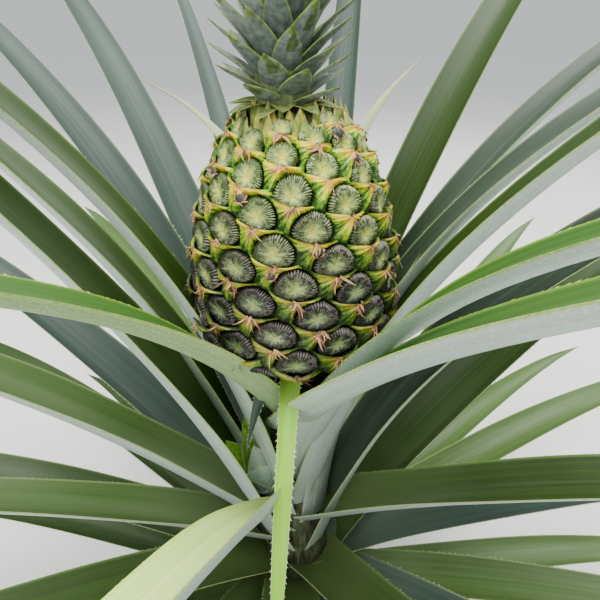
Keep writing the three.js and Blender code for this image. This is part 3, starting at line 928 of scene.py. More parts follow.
@dataclass
class Column:
    """A turned column with a relief in its skin, for the stem, the stalk and the crown's core.

    Attributes:
        name: The piece's name.
        node: The frame's node that it stands for.
        profile: Pairs of height and radius.
        finish: Its finish.
        sides: Faces round it.
        rings: Rings of faces up it.
        scar_depth: Depth of the old leaf scars' rims.
        scar_rise: Height from one turn of scars to the next.
        rib_depth: Depth of the lengthwise ribs.
    """
    name: str
    node: str
    profile: list
    finish: BarkFinish
    sides: int = 60
    rings: int = 70
    scar_depth: float = 1.2
    scar_rise: float = 11.0
    rib_depth: float = 0.3

    def build(self) -> None:
        """Extrudes the column ring by ring, then presses the scars and ribs into it."""
        low, high = self.profile[0][0], self.profile[-1][0]
        column = ring_started(self.sides, self.profile[0][1] * MM, "NGON", low * MM)
        column.name = column.data.name = self.name
        for _ in range(self.rings):
            extrude_up((high - low) / self.rings * MM)
        turn_outward()
        self.press(column, low, high)
        column.data.materials.append(self.finish.material())
        bpy.ops.object.shade_smooth_by_angle(angle=math.radians(50))
        enter(column, "stem", self.node)

    def press(self, column: bpy.types.Object, low: float, high: float) -> None:
        """Moves the column's vertices in and out by the profile, the scars and the ribs.

        Args:
            column: The extruded column.
            low: Height of its foot.
            high: Height of its top.
        """
        points = np.empty(len(column.data.vertices) * 3)
        column.data.vertices.foreach_get("co", points)
        x, y, height = points.reshape(-1, 3).T / MM
        turn = np.arctan2(y, x)
        phase = (height / self.scar_rise - 3 * turn / (2 * math.pi)) % 1.0
        scar = -self.scar_depth * np.clip((phase - 0.72) / 0.28, 0, 1) ** 2
        rib = -self.rib_depth * (0.5 + 0.5 * np.sin(turn * 15 + np.sin(height / 9)))
        inside = (height > low + 0.5) & (height < high - 0.5)
        radius = smooth_through(self.profile, 1, height) + np.where(inside, scar + rib, -0.2)
        points = np.stack([np.cos(turn) * radius, np.sin(turn) * radius, height], axis=-1)
        column.data.vertices.foreach_set("co", (points * MM).ravel())
        column.data.update()


# ---------------------------------------------------------------- fruit

# Colours of the zones, from the hub outward, on the lowest eyes and on the highest.
LOW_FAN = ["bcc278", "87986a", "4a4f42", "1d1613", "5a5150", "0e0b09"]
HIGH_FAN = ["f8e620", "c8d45c", "8ea652", "4a602a", "b8ca86", "1e2c10"]
LOW_BRACT = ["a8743c", "a48c24", "828c26", "4e6a1c", "2e4816", "141e0a"]
HIGH_BRACT = ["e89c2c", "ffc800", "efe300", "a8c810", "528a12", "1c3c06"]
# On a fan, the dark zone is partly painted shade in the crinkles' furrows. The crest zone is a painted
# highlight on their ridges, and the rim zone is a dark edge with painted shadow in its groove.
FAN_DARK_AND_SHADE, FAN_CREST_HIGHLIGHT, FAN_RIM_AND_SHADOW = 3, 4, 5
# On a bract, the shade zone is a dark green, painted shade on under sides and rims, and the darkest zone is
# painted shadow near the fans.
BRACT_SHADE, BRACT_EDGE_SHADOW = 4, 5
GRADES = 5


@dataclass
class Fruit:
    """The fruit: a flesh, painted dark as groove shade, with an eye at each place of a spiral.

    Each eye has a crinkled fan above its hub, a pointed bract that spreads below it, dry
    slivers at the hub, and on many of them a smooth knob in a torn opening.

    Attributes:
        eye_turn: Turn from one eye to the next.
        zero_turn: Turn of eye 0, low on the front.
        first_eye: Number of the lowest eye.
        last_eye: Number of the highest eye.
        middle_eye: Number of the first eye of the upper pieces.
        flesh_from: Eye number at the flesh's foot.
        flesh_span: Eye numbers from there to its top.
        twist_from: Eye from which the spiral turns a little faster.
        twist: Extra turn for each eye above that.
        fan_across: Half the breadth of a fan where the fruit is widest.
        fan_rise: A fan's reach above its middle there.
        fan_drop: A fan's reach below its middle there.
        fan_lift: Height of a fan's middle over the eye's middle there.
        fan_ridges: Ridges round a fan.
        bract_ranks: Rows of faces across a bract.
        knob_share: Share of the eyes that have a knob.
        seed: Where the fruit's seeded series starts.
    """
    eye_turn: float = 137.63
    zero_turn: float = 272.3
    first_eye: int = -17
    last_eye: int = 97
    middle_eye: int = 36
    flesh_from: float = -27.5
    flesh_span: float = 151
    twist_from: int = 76
    twist: float = 0.6
    fan_across: float = 12.0
    fan_rise: float = 10.8
    fan_drop: float = 7.2
    fan_lift: float = 4.8
    fan_ridges: int = 44
    bract_ranks: int = 36
    knob_share: float = 0.3
    seed: int = 2024

    def turn(self, number: float) -> float:
        """The turn of a place in the spiral of eyes."""
        extra = self.twist * max(0.0, number - self.twist_from)
        return self.zero_turn + self.eye_turn * number + extra

    def slant(self, number: float) -> float:
        """Measures the step from one eye to the next.

        Args:
            number: The eye.

        Returns:
            The distance along the fruit's outline between their heights.
        """
        ends = np.array([number - 2, number + 2])
        run, rise = (np.diff(smooth_through(FRUIT_PROFILE, column, ends))[0] for column in (1, 2))
        return max(math.hypot(run, rise) / 4, 0.6)

    def skin(self, number: np.ndarray, turn: np.ndarray, lift: np.ndarray) -> np.ndarray:
        """Points on the fruit.

        Args:
            number: Heights as eye numbers.
            turn: Turns in degrees.
            lift: Distances outside the fruit's outline.

        Returns:
            One point for each place.
        """
        radius, height = (smooth_through(FRUIT_PROFILE, column, number) for column in (1, 2))
        run, rise = (smooth_through(FRUIT_PROFILE, column, number + 0.5)
                     - smooth_through(FRUIT_PROFILE, column, number - 0.5) for column in (1, 2))
        size = np.maximum(np.hypot(run, rise), 1e-6)
        radius = radius + lift * rise / size
        angle = np.radians(turn)
        height = height - lift * run / size
        return np.stack([radius * np.cos(angle), radius * np.sin(angle), height], axis=-1)

    def millimetres(self, number: float) -> float:
        """How far one degree goes round the fruit at an eye's height."""
        return max(value_at(FRUIT_PROFILE, 1, number), 14.0) * math.pi / 180

    def neighbours(self, number: float) -> np.ndarray:
        """Finds the eight nearest eyes.

        Args:
            number: The eye.

        Returns:
            Their flat distances from it, sideways and up.
        """
        steps = [8, 13, 21, -5, -8, -13, -21, 5]
        away = np.array([self.turn(number + step) for step in steps]) - self.turn(number)
        away = away - 360 * np.round(away / 360)
        return np.stack([away * self.millimetres(number), np.array(steps) * self.slant(number)], axis=-1)

    def reach(self, number: float, origin: np.ndarray, angle: np.ndarray, sharp: float) -> np.ndarray:
        """Distances from a point of an eye's cell to the cell's rounded edge.

        Args:
            number: The eye.
            origin: The point, sideways and up from the eye's middle.
            angle: Directions from it, in radians.
            sharp: How sharp the cell's corners are.

        Returns:
            One distance for each direction.
        """
        near = self.neighbours(number)
        pull = near * (2 / (near ** 2).sum(axis=1))[:, None]
        low, high = np.zeros(len(angle)), np.full(len(angle), 60.0)
        for _ in range(22):
            middle = (low + high) / 2
            spot = origin + heading(angle) * middle[:, None]
            over = (np.maximum(spot @ pull.T, 0) ** sharp).sum(axis=1) > 1
            high = np.where(over, middle, high)
            low = np.where(over, low, middle)
        return low

    def height_share(self, number: float) -> float:
        """An eye's height as a share of an eye's where the fruit is widest."""
        return min(self.slant(number), 1.5) / 1.4

    def fan_edge(self, number: float, angle: np.ndarray) -> np.ndarray:
        """Distances from a fan's middle to its rim.

        Args:
            number: The eye.
            angle: Directions from the fan's middle, in radians.

        Returns:
            One distance for each direction.
        """
        across = self.fan_across * (max(value_at(FRUIT_PROFILE, 1, number), 20.0) / 61) ** 0.75
        reach = np.where(np.sin(angle) > 0, self.fan_rise, self.fan_drop) * self.height_share(number)
        return 1 / np.hypot(np.cos(angle) / across, np.sin(angle) / reach)

    def room(self, number: float, flat: np.ndarray) -> np.ndarray:
        """Says how clear places are of the neighbouring fans.

        Args:
            number: The eye whose places they are.
            flat: The places, sideways and up from its middle.

        Returns:
            0 for a place under a fan, up to 1 well between the fans.
        """
        turn = self.turn(number) + flat[:, 0] / self.millimetres(number)
        height = number + flat[:, 1] / self.slant(number)
        least = np.full(len(flat), 9.0)
        for other in (number + step for step in (3, 5, 8, 13, 21, 34, -3, -5, -8, -13, -21, -34)):
            if other > self.last_eye:
                continue
            away = turn - self.turn(other)
            across = (away - 360 * np.round(away / 360)) * self.millimetres(other)
            up = (height - other) * self.slant(other) - self.fan_lift * self.height_share(other)
            edge = self.fan_edge(other, np.arctan2(up, across))
            least = np.minimum(least, np.hypot(across, up) / edge)
        share = np.clip((least - 0.93) / 0.2, 0, 1)
        return share * share * (3 - 2 * share)

    def on_skin(self, number: float, flat: np.ndarray, lift: np.ndarray) -> np.ndarray:
        """Lays flat distances from an eye's middle on the fruit."""
        turn = self.turn(number) + flat[:, 0] / self.millimetres(number)
        return self.skin(number + flat[:, 1] / self.slant(number), turn, lift)

    def build(self) -> None:
        """Builds the flesh, the fans, the bracts, the slivers and the knobs."""
        self.flesh()
        eyes = range(self.first_eye, self.last_eye + 1)
        halves = {"low": [n for n in eyes if n < self.middle_eye],
                  "high": [n for n in eyes if n >= self.middle_eye]}
        for part in (self.fans, self.bracts):
            for half, numbers in halves.items():
                part(half, numbers)
        self.trimmings(eyes)

    def flesh(self) -> None:
        """The dark body that shows in the grooves; its dark groove tint is painted shade."""
        pattern = sheet_pattern(60, list(np.linspace(0, 1, 121)))
        p = pattern.points
        number = self.flesh_from + p[:, 0] * self.flesh_span
        sink = np.interp(number, [60, 72, 88, 96], [-4.6, -3.3, -3.3, -0.8])
        points = self.skin(number, p[:, 1] * 360, sink)
        points[p[:, 2] < MID_DEPTH] *= np.array([0.9, 0.9, 1.0])
        place = self.flesh_from + pattern.face_centres()[:, 0] * self.flesh_span
        core = Gathering()
        core.add(points, pattern, np.digitize(place, [68, 92]))
        # The groove tint is painted shade between the eyes; the hollow and shoulder tints higher up are
        # lighter.
        tints = {"groove_shade": ("1d2512", 0.7), "hollow": ("46591e", 0.7), "shoulder": ("5f6e30", 0.6)}
        finishes = [FleshFinish(name, tint, rough, 0.3) for name, (tint, rough) in tints.items()]
        piece = core.piece("fruit_flesh", finishes)
        bpy.ops.object.mode_set(mode="EDIT")
        bpy.ops.mesh.select_all(action="SELECT")
        bpy.ops.mesh.remove_doubles(threshold=0.00002)
        turn_outward()
        enter(piece, "fruit", "fruit")

    def grade(self, number: float) -> int:
        """Grades an eye from the dark foot to the fair top.

        Args:
            number: The eye.

        Returns:
            Its grade, from 0.
        """
        sunny = 0.17 * math.cos(math.radians(self.turn(number) - 215))
        share = (number - 27) / 56 + sunny + 0.08 * math.sin(number * 2.4)
        return int(np.clip(round(share * (GRADES - 1)), 0, GRADES - 1))

    def shades(self, label: str, low: list, high: list, rough: float) -> list:
        """Finishes for a part of the eyes.

        Args:
            label: Start of their names.
            low: The zones' colours at the lowest grade.
            high: The zones' colours at the highest grade.
            rough: Their roughness.

        Returns:
            All the zones of each grade in turn.
        """
        return [FleshFinish(f"{label}_{grade}_{zone}", mixed(dark, fair, grade / (GRADES - 1)), rough)
                for grade in range(GRADES) for zone, (dark, fair) in enumerate(zip(low, high))]

    def fans(self, half: str, eyes: list) -> None:
        """The crinkled fans over the hubs.

        Args:
            half: The word for this half of the fruit.
            eyes: The eyes' numbers.
        """
        ridges, columns = self.fan_ridges, self.fan_ridges * 3
        pattern = disc_pattern(columns, [1.0, 0.955, 0.89, 0.80, 0.69, 0.56, 0.42, 0.27, 0.12])
        p = pattern.points
        share = np.hypot(p[:, 0], p[:, 1])
        angle = np.arctan2(p[:, 1], p[:, 0])
        column = np.round(angle / (2 * math.pi / columns)).astype(int)
        swell = np.interp(share, [0, 0.12, 0.27, 0.42, 0.56, 0.69, 0.8, 0.89, 0.955, 1.0],
                          [1.0, 1.1, 1.6, 2.2, 2.6, 2.8, 2.6, 1.9, 0.4, -2.8])
        crinkle = np.interp(share, [0, 0.28, 0.5, 0.7, 0.88, 1.0], [0, 0.06, 0.2, 0.42, 0.62, 0.5])
        centres = pattern.face_centres()
        face_share = np.hypot(centres[:, 0], centres[:, 1])
        face_angle = np.arctan2(centres[:, 1], centres[:, 0])
        face_column = np.floor(face_angle / (2 * math.pi / columns)).astype(int)
        lower = np.clip(-np.sin(angle) * 1.6 - 0.1, 0, 1)
        gathering = Gathering()
        for n in eyes:
            rng = np.random.default_rng(self.seed + n)
            tall = 0.6 + 0.8 * rng.random(ridges + 1)
            ridge = np.where(column % 3 == 0, 1.0, -0.5) * tall[(column // 3) % ridges]
            bent = angle + 0.05 * np.sin(2 * angle + n) + 0.03 * np.sin(5 * angle + 2 * n)
            middle = np.array([0.0, self.fan_lift * self.height_share(n)])
            uneven = 0.018 * rng.standard_normal(ridges + 1)[(column // 3) % ridges]
            edge = self.fan_edge(n, bent) * (1 + 0.03 * np.sin(3 * angle + n) + uneven)
            out = share * edge * (1 + 0.035 * ridge * np.clip(share * 4 - 3, 0, 1))
            lift = np.where(p[:, 2] < MID_DEPTH, -5.4, swell * (1 - 0.4 * lower) + crinkle * ridge)
            lift = lift + 0.25 * rng.standard_normal()
            grain = rng.random(len(centres))
            ray = rng.random(columns)[(face_column // 2) % columns]
            lobe = 0.06 * np.sin(face_angle * 7 + n) + 0.2 * (ray - 0.5)
            zone = np.digitize(face_share + 0.05 * (grain - 0.5) + lobe, [0.16, 0.38, 0.6, 0.78])
            # Painted light on the outer crinkles: ridge faces take the painted highlight, and the faces
            # beside them take painted shade.
            crest = (face_share > 0.60) & (face_column % 3 == 0)
            outer = (zone == FAN_CREST_HIGHLIGHT) | ((zone == FAN_DARK_AND_SHADE) & (grain > 0.6))
            zone = np.where(outer, np.where(crest, FAN_CREST_HIGHLIGHT, FAN_DARK_AND_SHADE), zone)
            # The rim and the furrow faces near it take the near-black of the dark edge and its painted
            # shadow.
            rim = (face_share > 0.965) | ((face_share > 0.86) & (face_column % 3 == 1))
            zone = np.where(rim, FAN_RIM_AND_SHADOW, zone)
            points = self.on_skin(n, middle + heading(bent) * out[:, None], lift)
            gathering.add(points, pattern, self.grade(n) * len(LOW_FAN) + zone)
        piece = gathering.piece(f"fruit_fans_{half}", self.shades("fan", LOW_FAN, HIGH_FAN, 0.34))
        enter(piece, "fruit", "fruit")

    def skirt(self, number: int, t: np.ndarray, side: np.ndarray, size: float) -> np.ndarray:
        """Places of a bract's skirt, sideways and up from the eye's middle.

        Args:
            number: The eye.
            t: Shares of the way from the bract's hub to its edge.
            side: Places across it, from -1 at the left arm to 1 at the right arm.
            size: Its reach, for the cell's.

        Returns:
            One flat place for each pair.
        """
        tall = self.height_share(number)
        near = self.neighbours(number)
        corner = abs(near[0][0] - near[1][0]) / 2
        hub = np.array([0.0, -0.8])
        start = math.atan2(7.0 * tall, -corner)
        end = math.atan2(2.4 * tall, corner) + 2 * math.pi
        angle = start + (end - start) * (side + 1) / 2
        edge = self.reach(number, hub, angle, 11.0) * (1.3 + 0.28 * (1 - side ** 2)) * size
        bow = 0.14 * np.sin(math.pi * t) * np.sign(side) * np.abs(side) ** 3
        return hub + heading(angle - bow) * (t * edge)[:, None]

    def bracts(self, half: str, eyes: list) -> None:
        """The pointed bracts that spread below the hubs and fill the room between the fans.

        Args:
            half: The word for this half of the fruit.
            eyes: The eyes' numbers.
        """
        ranks = self.bract_ranks
        pattern = sheet_pattern(14, list(np.linspace(-1, 1, ranks + 1)))
        p, centres = pattern.points, pattern.face_centres()
        t, side = 0.04 + 0.96 * p[:, 0], p[:, 1]
        face_t, face_side = 0.04 + 0.96 * centres[:, 0], centres[:, 1]
        face_rank = np.clip(((face_side + 1) * ranks / 2).astype(int), 0, ranks - 1)
        slope = np.interp(t, [0, 0.08, 0.25, 0.45, 0.62, 0.8, 1], [4.6, 5.2, 4.4, 3.0, 1.4, -0.4, -3.0])
        gathering = Gathering()
        for n in eyes:
            rng = np.random.default_rng(self.seed * 3 + n)
            size = (1.12 if n > 70 else 1.0) + 0.03 * rng.standard_normal()
            flat = self.skirt(n, t, side, size)
            pleat = 0.55 * np.cos(side * math.pi * 3 + n) + 0.4 * np.cos(side * math.pi * 9 + 2 * n)
            rise = slope + (pleat + 0.9 * np.abs(side) ** 4) * np.sin(math.pi * t)
            clear = self.room(n, flat)
            lift = rise * clear - 2.8 * (1 - clear)
            lift = np.where(p[:, 2] < MID_DEPTH, lift - 0.8 - 1.2 * t, lift) + 0.25 * rng.standard_normal()
            strand = rng.random(ranks)[face_rank] - 0.5 + 0.35 * (rng.random(len(face_t)) - 0.5)
            face_clear = self.room(n, self.skirt(n, face_t, face_side, size))
            # The bract's own gold is high at the hub and arms and falls toward its far edge. Painted shade
            # lowers it where the bract runs under a neighbour's fan, down to the near-black zone.
            gold_and_shade = 0.97 - 1.3 * face_t + 0.36 * np.abs(face_side) ** 3 + 0.42 * strand
            gold_and_shade = gold_and_shade - 0.2 * np.exp(-((np.abs(face_side) - 0.5) / 0.2) ** 2) - 0.6 * (1 - face_clear)
            zone = BRACT_EDGE_SHADOW - np.digitize(gold_and_shade, [0.14, 0.36, 0.54, 0.72])
            zone = np.where(face_t < 0.14 + 0.16 * strand, 0, zone)
            # Under sides and rims take at least the dark green of painted shade.
            zone = np.where(centres[:, 2] < RIM_DEPTHS[1], np.maximum(zone, BRACT_SHADE), zone)
            gathering.add(self.on_skin(n, flat, lift), pattern, self.grade(n) * len(LOW_BRACT) + zone)
        finishes = self.shades("bract", LOW_BRACT, HIGH_BRACT, 0.42)
        enter(gathering.piece(f"fruit_bracts_{half}", finishes, 70), "fruit", "fruit")

    def trimmings(self, eyes: range) -> None:
        """The dry slivers at the hubs, and the knobs in their torn openings.

        Args:
            eyes: The eyes' numbers.
        """
        sliver = spike_pattern(4, [(0.0, 0.5), (0.25, 0.8), (0.5, 0.62), (0.78, 0.34)])
        bpy.ops.object.select_all(action="DESELECT")
        bpy.ops.mesh.primitive_uv_sphere_add(segments=14, ring_count=9, radius=1.0)
        ball = Pattern.taken()
        dry, knobs = Gathering(), Gathering()
        for n in eyes:
            rng = np.random.default_rng(self.seed * 7 + n)
            count, longest, tallest = (9, 9.5, 6.5) if n < 46 else (6, 7.5, 4.5)
            for _ in range(count):
                aim = rng.uniform(-2.7, -0.4)
                start = np.array([rng.normal(0, 1.0), -0.6 + rng.normal(0, 0.7)])
                length = rng.uniform(3.0, longest)
                self.sliver(dry, sliver, n, start, aim, rng, length, rng.uniform(0.5, tallest))
            if rng.random() < self.knob_share:
                spot = np.array([rng.normal(0.8, 0.8), -4.2 + rng.normal(0, 0.4)])
                size = rng.uniform(2.3, 3.2)
                flat = spot + ball.points[:, :2] * np.array([size, size * 1.1])
                knobs.add(self.on_skin(n, flat, 3.2 + ball.points[:, 2] * size * 0.7), ball, 0)
                for turn in np.linspace(-3.5, 0.4, 11):
                    foot = spot + heading(turn) * size * 1.05
                    aim = turn + rng.uniform(1.0, 1.9)
                    length = rng.uniform(1.6, 2.8)
                    self.sliver(dry, sliver, n, foot, aim, rng, length, rng.uniform(0.4, 1.2))
        tints = {"dry_rose": "cc8c66", "dry_tan": "c09a68", "dry_brown": "744a34"}
        finishes = [FleshFinish(name, tint, 0.8) for name, tint in tints.items()]
        enter(dry.piece("fruit_slivers", finishes, 60), "fruit", "fruit")
        enter(knobs.piece("fruit_knobs", [FleshFinish("knob", "323d38", 0.3, 0.2)]), "fruit", "fruit")

    def sliver(self, dry: Gathering, pattern: Pattern, number: int, start: np.ndarray, aim: float,
               rng: np.random.Generator, length: float, stand: float) -> None:
        """Adds one dry sliver that lies on an eye and curls off it.

        Args:
            dry: Where it is gathered.
            pattern: The sliver's spike.
            number: The eye.
            start: Its foot, sideways and up from the eye's middle.
            aim: Its direction on the skin, in radians.
            rng: The eye's seeded source.
            length: Its length.
            stand: How far its tip stands off the skin.
        """
        x, y, up = pattern.points.T
        wide = rng.uniform(0.45, 0.9)
        curl = rng.uniform(-0.6, 0.6) * up ** 2
        across = np.array([-np.sin(aim), np.cos(aim)])
        flat = start + heading(aim + curl) * (up * length)[:, None] + across * (x * wide)[:, None]
        lift = 5.0 + stand * up ** 1.5 - 1.9 * up + y * 0.28
        dry.add(self.on_skin(number, flat, lift), pattern, int(rng.integers(0, 3)))


# ---------------------------------------------------------------- crown, collar and slip

@dataclass(frozen=True)
class LeafPaints:
    """Finishes of the short leaves: bodies, green patch, tip and margin.

    Attributes:
        label: Start of the materials' names.
        bodies: Colours dealt out leaf by leaf.
        patch: Colour of the bare green patch.
        tip: Colour of the tip.
        margin: Colour of the margins.
        rough: The shader's roughness.
        mottle: How strong their mottle is.
    """
    label: str
    bodies: tuple
    patch: str
    tip: str
    margin: str
    rough: float = 0.5
    mottle: float = 0.3

    def finishes(self) -> list:
        """Lists the finishes.

        Returns:
            The bodies' finishes, then the patch's, the tip's and the margin's.
        """
        tints = [*self.bodies, self.patch, self.tip, self.margin]
        return [FleshFinish(f"{self.label}_{i}", tint, self.rough, self.mottle, 300.0)
                for i, tint in enumerate(tints)]

    def zones(self, centres: np.ndarray, body: int, tip_from: float, patch: bool) -> np.ndarray:
        """The slot of each face of a leaf.

        Args:
            centres: The pattern's face centres.
            body: Which body colour the leaf has.
            tip_from: Share of the length at which the tip's colour starts.
            patch: Whether the leaf has a bare green patch.

        Returns:
            One slot for each face.
        """
        s, u, z = centres.T
        patch_slot, tip_slot, margin_slot = (len(self.bodies) + i for i in range(3))
        slots = np.full(len(s), body)
        if patch:
            spot = ((s - 0.68) / 0.2) ** 2 + ((u - 0.25 - 0.5 * (s - 0.68)) / 0.5) ** 2 < 1
            slots = np.where(spot, patch_slot, slots)
        slots = np.where(s > tip_from - 0.12 * (1 - np.abs(u)), tip_slot, slots)
        rim = (z > RIM_DEPTHS[0]) & (z < RIM_DEPTHS[1])
        return np.where((np.abs(u) > MARGIN_FROM) | rim, margin_slot, slots)


SHORT_RANKS = [-1, -0.93, -0.7, -0.46, -0.22, 0, 0.22, 0.46, 0.7, 0.93, 1]
MARGIN_FROM = 0.94


@dataclass
class Crown:
    """The crown of short leaves over the fruit.

    Attributes:
        offset: How far it sits to the left of the axis.
        foot: Height of its foot.
        flat_leaves: How many leaves lie flat at its foot.
        first_leaf: Height of the lowest rising leaf's foot.
        last_leaf: Height of the highest leaf's foot.
        leaves: How many leaves it has.
        core_radius: Radius of its core.
        tooth_spacing: Distance between the teeth of a margin.
        tooth_size: A tooth's length.
        seed: Where its seeded series starts.
    """
    offset: float = -5.0
    foot: float = 532.35
    flat_leaves: int = 14
    first_leaf: float = 532.7
    last_leaf: float = 627.0
    leaves: int = 134
    core_radius: float = 15.0
    tooth_spacing: float = 3.2
    tooth_size: float = 0.8
    seed: int = 41

    def blade(self, k: int, spread: Callable[[], float]) -> Blade:
        """One leaf of the crown.

        Args:
            k: Its number, from the flat lowest ring to the upright tip.
            spread: The crown's seeded series.

        Returns:
            The leaf.
        """
        turn = 200 + k * GOLDEN_TURN
        if k < self.flat_leaves:
            return Blade(
                name="crown", turn=turn, height=self.foot + 0.08 * k, radius=self.core_radius - 2,
                rise=6 + 4 * spread(), droop=26, length=18 + 4 * spread(), width=13.5, steps=2,
                bend=1.2, sweep=8 * spread(), fullness=2.3, channel=0.12, thickness=1.0, sheath=-0.1,
                wave=0.4, least=0.3)
        up = (k - self.flat_leaves) / (self.leaves - 1 - self.flat_leaves)
        return Blade(
            name="crown", turn=turn, height=between(self.first_leaf, self.last_leaf, up),
            radius=between(self.core_radius - 4, 3, up ** 2),
            rise=between(25, 86, up ** 0.6) + 3 * spread(),
            droop=between(8, 20, math.sin(math.pi * up)), bend=1.6, sweep=6 * spread(),
            length=26 + 34 * up * (1.6 - up) + 1.5 * spread(),
            width=between(16.5, 12.5, up), steps=2, fullness=3.0, channel=0.12, thickness=1.2,
            sheath=-0.25, wave=0.25, least=0.3)

    def build(self) -> None:
        """Builds the core and the leaves."""
        profile = [(self.foot, self.core_radius), (545, self.core_radius), (600, 10), (632, 3.5)]
        Column("crown_core", "crown", profile, BarkFinish("crown_heart", "55613f", "8a9763"),
               sides=24, rings=12, scar_depth=0.0, rib_depth=0.2).build()
        shift = Vector((self.offset * MM, 0, 0))
        for vertex in bpy.data.objects["crown_core"].data.vertices:
            vertex.co += shift
        bodies = ("828e8b", "727f7b", "929c98", "64726a", "76833c")
        paints = LeafPaints("crown", bodies, "56673c", "6f8a30", "9cb84c")
        pattern = sheet_pattern(14, SHORT_RANKS)
        centres = pattern.face_centres()
        tooth = spike_pattern(3, [(0.0, 1.0)])
        spread = seeded_spread(self.seed)
        aside = np.array([self.offset, 0, 0])
        gathering = Gathering()
        for k in range(self.leaves):
            blade = self.blade(k, spread)
            body = 4 if k < self.flat_leaves else k % 4
            slots = paints.zones(centres, body, 0.94, k % 4 == 0)
            gathering.add(blade.shaped(pattern) + aside, pattern, slots)
            for side in (-1, 1):
                for copy in blade.teeth(tooth, side, self.tooth_spacing, self.tooth_size):
                    gathering.add(copy + aside, tooth, len(bodies) + 2)
        enter(gathering.piece("crown_leaves", paints.finishes(), 50), "crown", "crown")


@dataclass
class Collar:
    """The pointed bracts that stand round the fruit's top, under the crown.

    Attributes:
        first: Place of the lowest in the spiral of eyes.
        last: Place of the highest.
        count: How many there are.
        seed: Where the seeded series starts.
    """
    first: float = 89.0
    last: float = 109.0
    count: int = 76
    seed: int = 611

    def build(self) -> None:
        """Builds the bracts in rows round the fruit's shoulder."""
        bodies = ("b4b63c", "96a634", "c8c03e", "7f9632")
        paints = LeafPaints("collar", bodies, "6c8434", "9a6248", "bcc070")
        pattern = sheet_pattern(9, SHORT_RANKS)
        centres = pattern.face_centres()
        spread = seeded_spread(self.seed)
        gathering = Gathering()
        for k in range(self.count):
            up = k / (self.count - 1)
            place = between(self.first, self.last, up)
            blade = Blade(
                name="collar", turn=40 + k * GOLDEN_TURN + 5 * spread(),
                height=value_at(FRUIT_PROFILE, 2, place) - 2.5,
                radius=value_at(FRUIT_PROFILE, 1, place) + 0.5,
                rise=between(108, 98, up) + 7 * spread(), droop=14 * spread(), bend=1.2,
                sweep=12 * spread(), length=between(13.5, 8.0, up) + 3.5 * spread(),
                width=between(8.4, 6.0, up) + 1.5 * spread(), steps=2, fullness=1.5, channel=0.22,
                thickness=1.0, sheath=0.0, wave=0.2, least=0.12)
            gathering.add(blade.shaped(pattern), pattern, paints.zones(centres, k % 4, 0.9, k % 5 == 0))
        enter(gathering.piece("fruit_collar", paints.finishes(), 50), "fruit", "fruit")


SLIP_LEAVES = [
    # turn, height, radius, rise, droop, length, width, fullness
    (283, 3, 9, 88, -14, 34, 33, 5.0),
    (228, 4, 8, 74, 4, 40, 24, 2.4),
    (300, 14, 6, 90, -6, 46, 24, 2.6),
    (172, 14, 6, 62, 6, 56, 27, 2.8),
    (96, 22, 4, 82, 4, 62, 25, 2.4),
    (48, 16, 5, 76, 6, 52, 22, 2.4),
    (132, 28, 3, 84, 0, 46, 15, 2.2),
    (10, 6, 7, 66, 8, 44, 26, 2.6),
    (250, 26, 3, 90, 0, 26, 10, 2.0),
]


@dataclass
class Slip:
    """The small side rosette beside the stalk's foot.

    Attributes:
        turn: Where it stands.
        radius: Its distance from the axis.
        foot: Height of its foot.
        lean: How far it leans out.
    """
    turn: float = 207.0
    radius: float = 29.0
    foot: float = 228.0
    lean: float = 9.0

    def build(self) -> None:
        """Builds the leaves round a short core and leans them out."""
        bodies = ("9cb0a6", "8ea397", "a8b9ae")
        paints = LeafPaints("slip", bodies, "6f8c3c", "a2b596", "b4c49a", 0.45, 0.12)
        inside = FleshFinish("slip_inside", "7cb42c", 0.45)
        pattern = sheet_pattern(14, SHORT_RANKS)
        centres = pattern.face_centres()
        gathering = Gathering()
        for k, (turn, height, radius, rise, droop, length, width, full) in enumerate(SLIP_LEAVES):
            blade = Blade(
                name="slip", turn=turn, height=height, radius=radius, rise=rise, droop=droop, bend=1.3,
                length=length, width=width, steps=3, fullness=full, channel=0.3, thickness=1.3,
                sheath=0.0, wave=0.2, least=0.25)
            slots = paints.zones(centres, k % 3, 0.96, False)
            top = (centres[:, 2] > RIM_DEPTHS[1]) & (np.abs(centres[:, 1]) < MARGIN_FROM)
            slots = np.where(top, len(bodies) + 3, slots)
            gathering.add(self.leaned(blade.shaped(pattern)), pattern, slots)
        core = spike_pattern(10, [(0.0, 5.0), (0.2, 9.0), (0.8, 4.0)])
        gathering.add(self.leaned(core.points * np.array([1, 1, 44.0])), core, 0)
        enter(gathering.piece("slip_leaves", [*paints.finishes(), inside], 50), "slip", "slip")

    def leaned(self, points: np.ndarray) -> np.ndarray:
        """Leans the slip out and sets it in its place.

        Args:
            points: Points of the upright slip.

        Returns:
            The same points where they belong.
        """
        turn, lean = math.radians(self.turn), math.radians(self.lean)
        out = np.array([math.cos(turn), math.sin(turn), 0.0])
        side = np.array([-math.sin(turn), math.cos(turn), 0.0])
        upright = np.array([0.0, 0.0, 1.0])
        away = points @ out
        height = points[:, 2]
        return ((away * math.cos(lean) + height * math.sin(lean))[:, None] * out
                + (points @ side)[:, None] * side
                + (height * math.cos(lean) - away * math.sin(lean))[:, None] * upright
                + out * self.radius + upright * self.foot)


# ---------------------------------------------------------------- studio

LAMPS = [
    # name, place, target, breadth, watts
    ("sky", (0.1, -0.15, 2.4), (0, 0, 0.3), 2.2, 138.0),
    ("fill", (-1.3, -1.7, 1.5), (0, 0, 0.35), 1.6, 34.0),
    ("back", (1.2, 1.6, 1.7), (0, 0, 0.4), 1.4, 24.0),
]


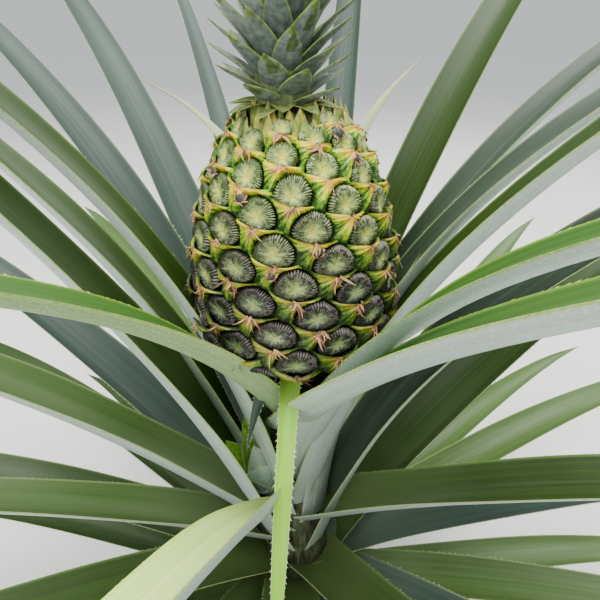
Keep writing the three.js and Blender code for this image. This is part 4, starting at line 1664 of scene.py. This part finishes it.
@dataclass
class Studio:
    """The floor, the light and the camera.

    Attributes:
        eye: The camera's place, in metres.
        pitch: How far it looks down, in degrees.
        yaw: How far it is turned to its left, in degrees.
        lens: Its focal length, in millimetres.
        sensor: Its sensor's breadth, in millimetres.
        floor: The floor's radius, in metres.
    """
    eye: tuple = (0.0054, -0.258, 0.572)
    pitch: float = 32.3
    yaw: float = -0.3
    lens: float = 27.06
    sensor: float = 36.0
    floor: float = 60.0

    def build(self) -> None:
        """Builds the floor, the lights and the camera."""
        bpy.ops.object.select_all(action="DESELECT")
        bpy.ops.mesh.primitive_circle_add(
            vertices=96, radius=self.floor, fill_type="NGON", location=(0, 0, -0.0005))
        floor = bpy.context.object
        floor.name = floor.data.name = "floor"
        desk = NodeDesk("floor")
        place = desk.place()
        near = desk.blend(desk.ranged(desk.noise(place, 3.0), 0.3, 0.7), "dadad5", "e2e2de")
        distance = desk.add("VectorMath", {0: place}, "Value", operation="LENGTH")
        far = desk.ranged(distance, 1.0, 7.0)
        floor.data.materials.append(desk.finished(desk.blend(far, near, "fdfdfd"), 0.9))
        for lamp in LAMPS:
            self.lamp(*lamp)
        world = bpy.data.worlds.new("studio")
        world.use_nodes = True
        backdrop = next(n for n in world.node_tree.nodes if n.type == "BACKGROUND")
        backdrop.inputs["Color"].default_value = linear("e6eaec")
        backdrop.inputs["Strength"].default_value = 0.84
        bpy.context.scene.world = world
        sight = bpy.data.cameras.new("camera")
        sight.sensor_width = self.sensor
        sight.lens = self.lens
        sight.clip_start = 0.01
        camera = bpy.data.objects.new("camera", sight)
        camera.location = self.eye
        camera.rotation_euler = (math.radians(90 - self.pitch), 0.0, math.radians(-self.yaw))
        bpy.context.scene.collection.objects.link(camera)
        bpy.context.scene.camera = camera

    def lamp(self, name: str, place: tuple, target: tuple, size: float, power: float) -> None:
        """Adds one soft area light.

        Args:
            name: Its name.
            place: Where it hangs.
            target: What it faces.
            size: Its breadth.
            power: Its power in watts.
        """
        light = bpy.data.lights.new(name, "AREA")
        light.size = size
        light.energy = power
        lamp = bpy.data.objects.new(name, light)
        lamp.location = place
        lamp.rotation_euler = (Vector(target) - Vector(place)).to_track_quat("-Z", "Y").to_euler()
        bpy.context.scene.collection.objects.link(lamp)


def main() -> None:
    """Builds the plant's pieces in order, from the ground up."""
    logging.basicConfig(level=logging.INFO, format="%(name)s %(message)s")
    Studio().build()
    Column("stem_bark", "stem", STEM_PROFILE, BarkFinish("stem_bark", "2e3022", "6b7350")).build()
    stalk = [(STEM_TOP + 0.35, STALK_RADIUS), (FRUIT_FOOT - 0.35, STALK_RADIUS)]
    Column("stalk_skin", "peduncle", stalk, BarkFinish("stalk_skin", "66754f", "93a27a", 0.55),
           sides=44, rings=40, scar_depth=0.5, scar_rise=34.0, rib_depth=0.35).build()
    for part in (Rosette(), Fruit(), Collar(), Crown(), Slip()):
        part.build()


if __name__ == "__main__":
    main()
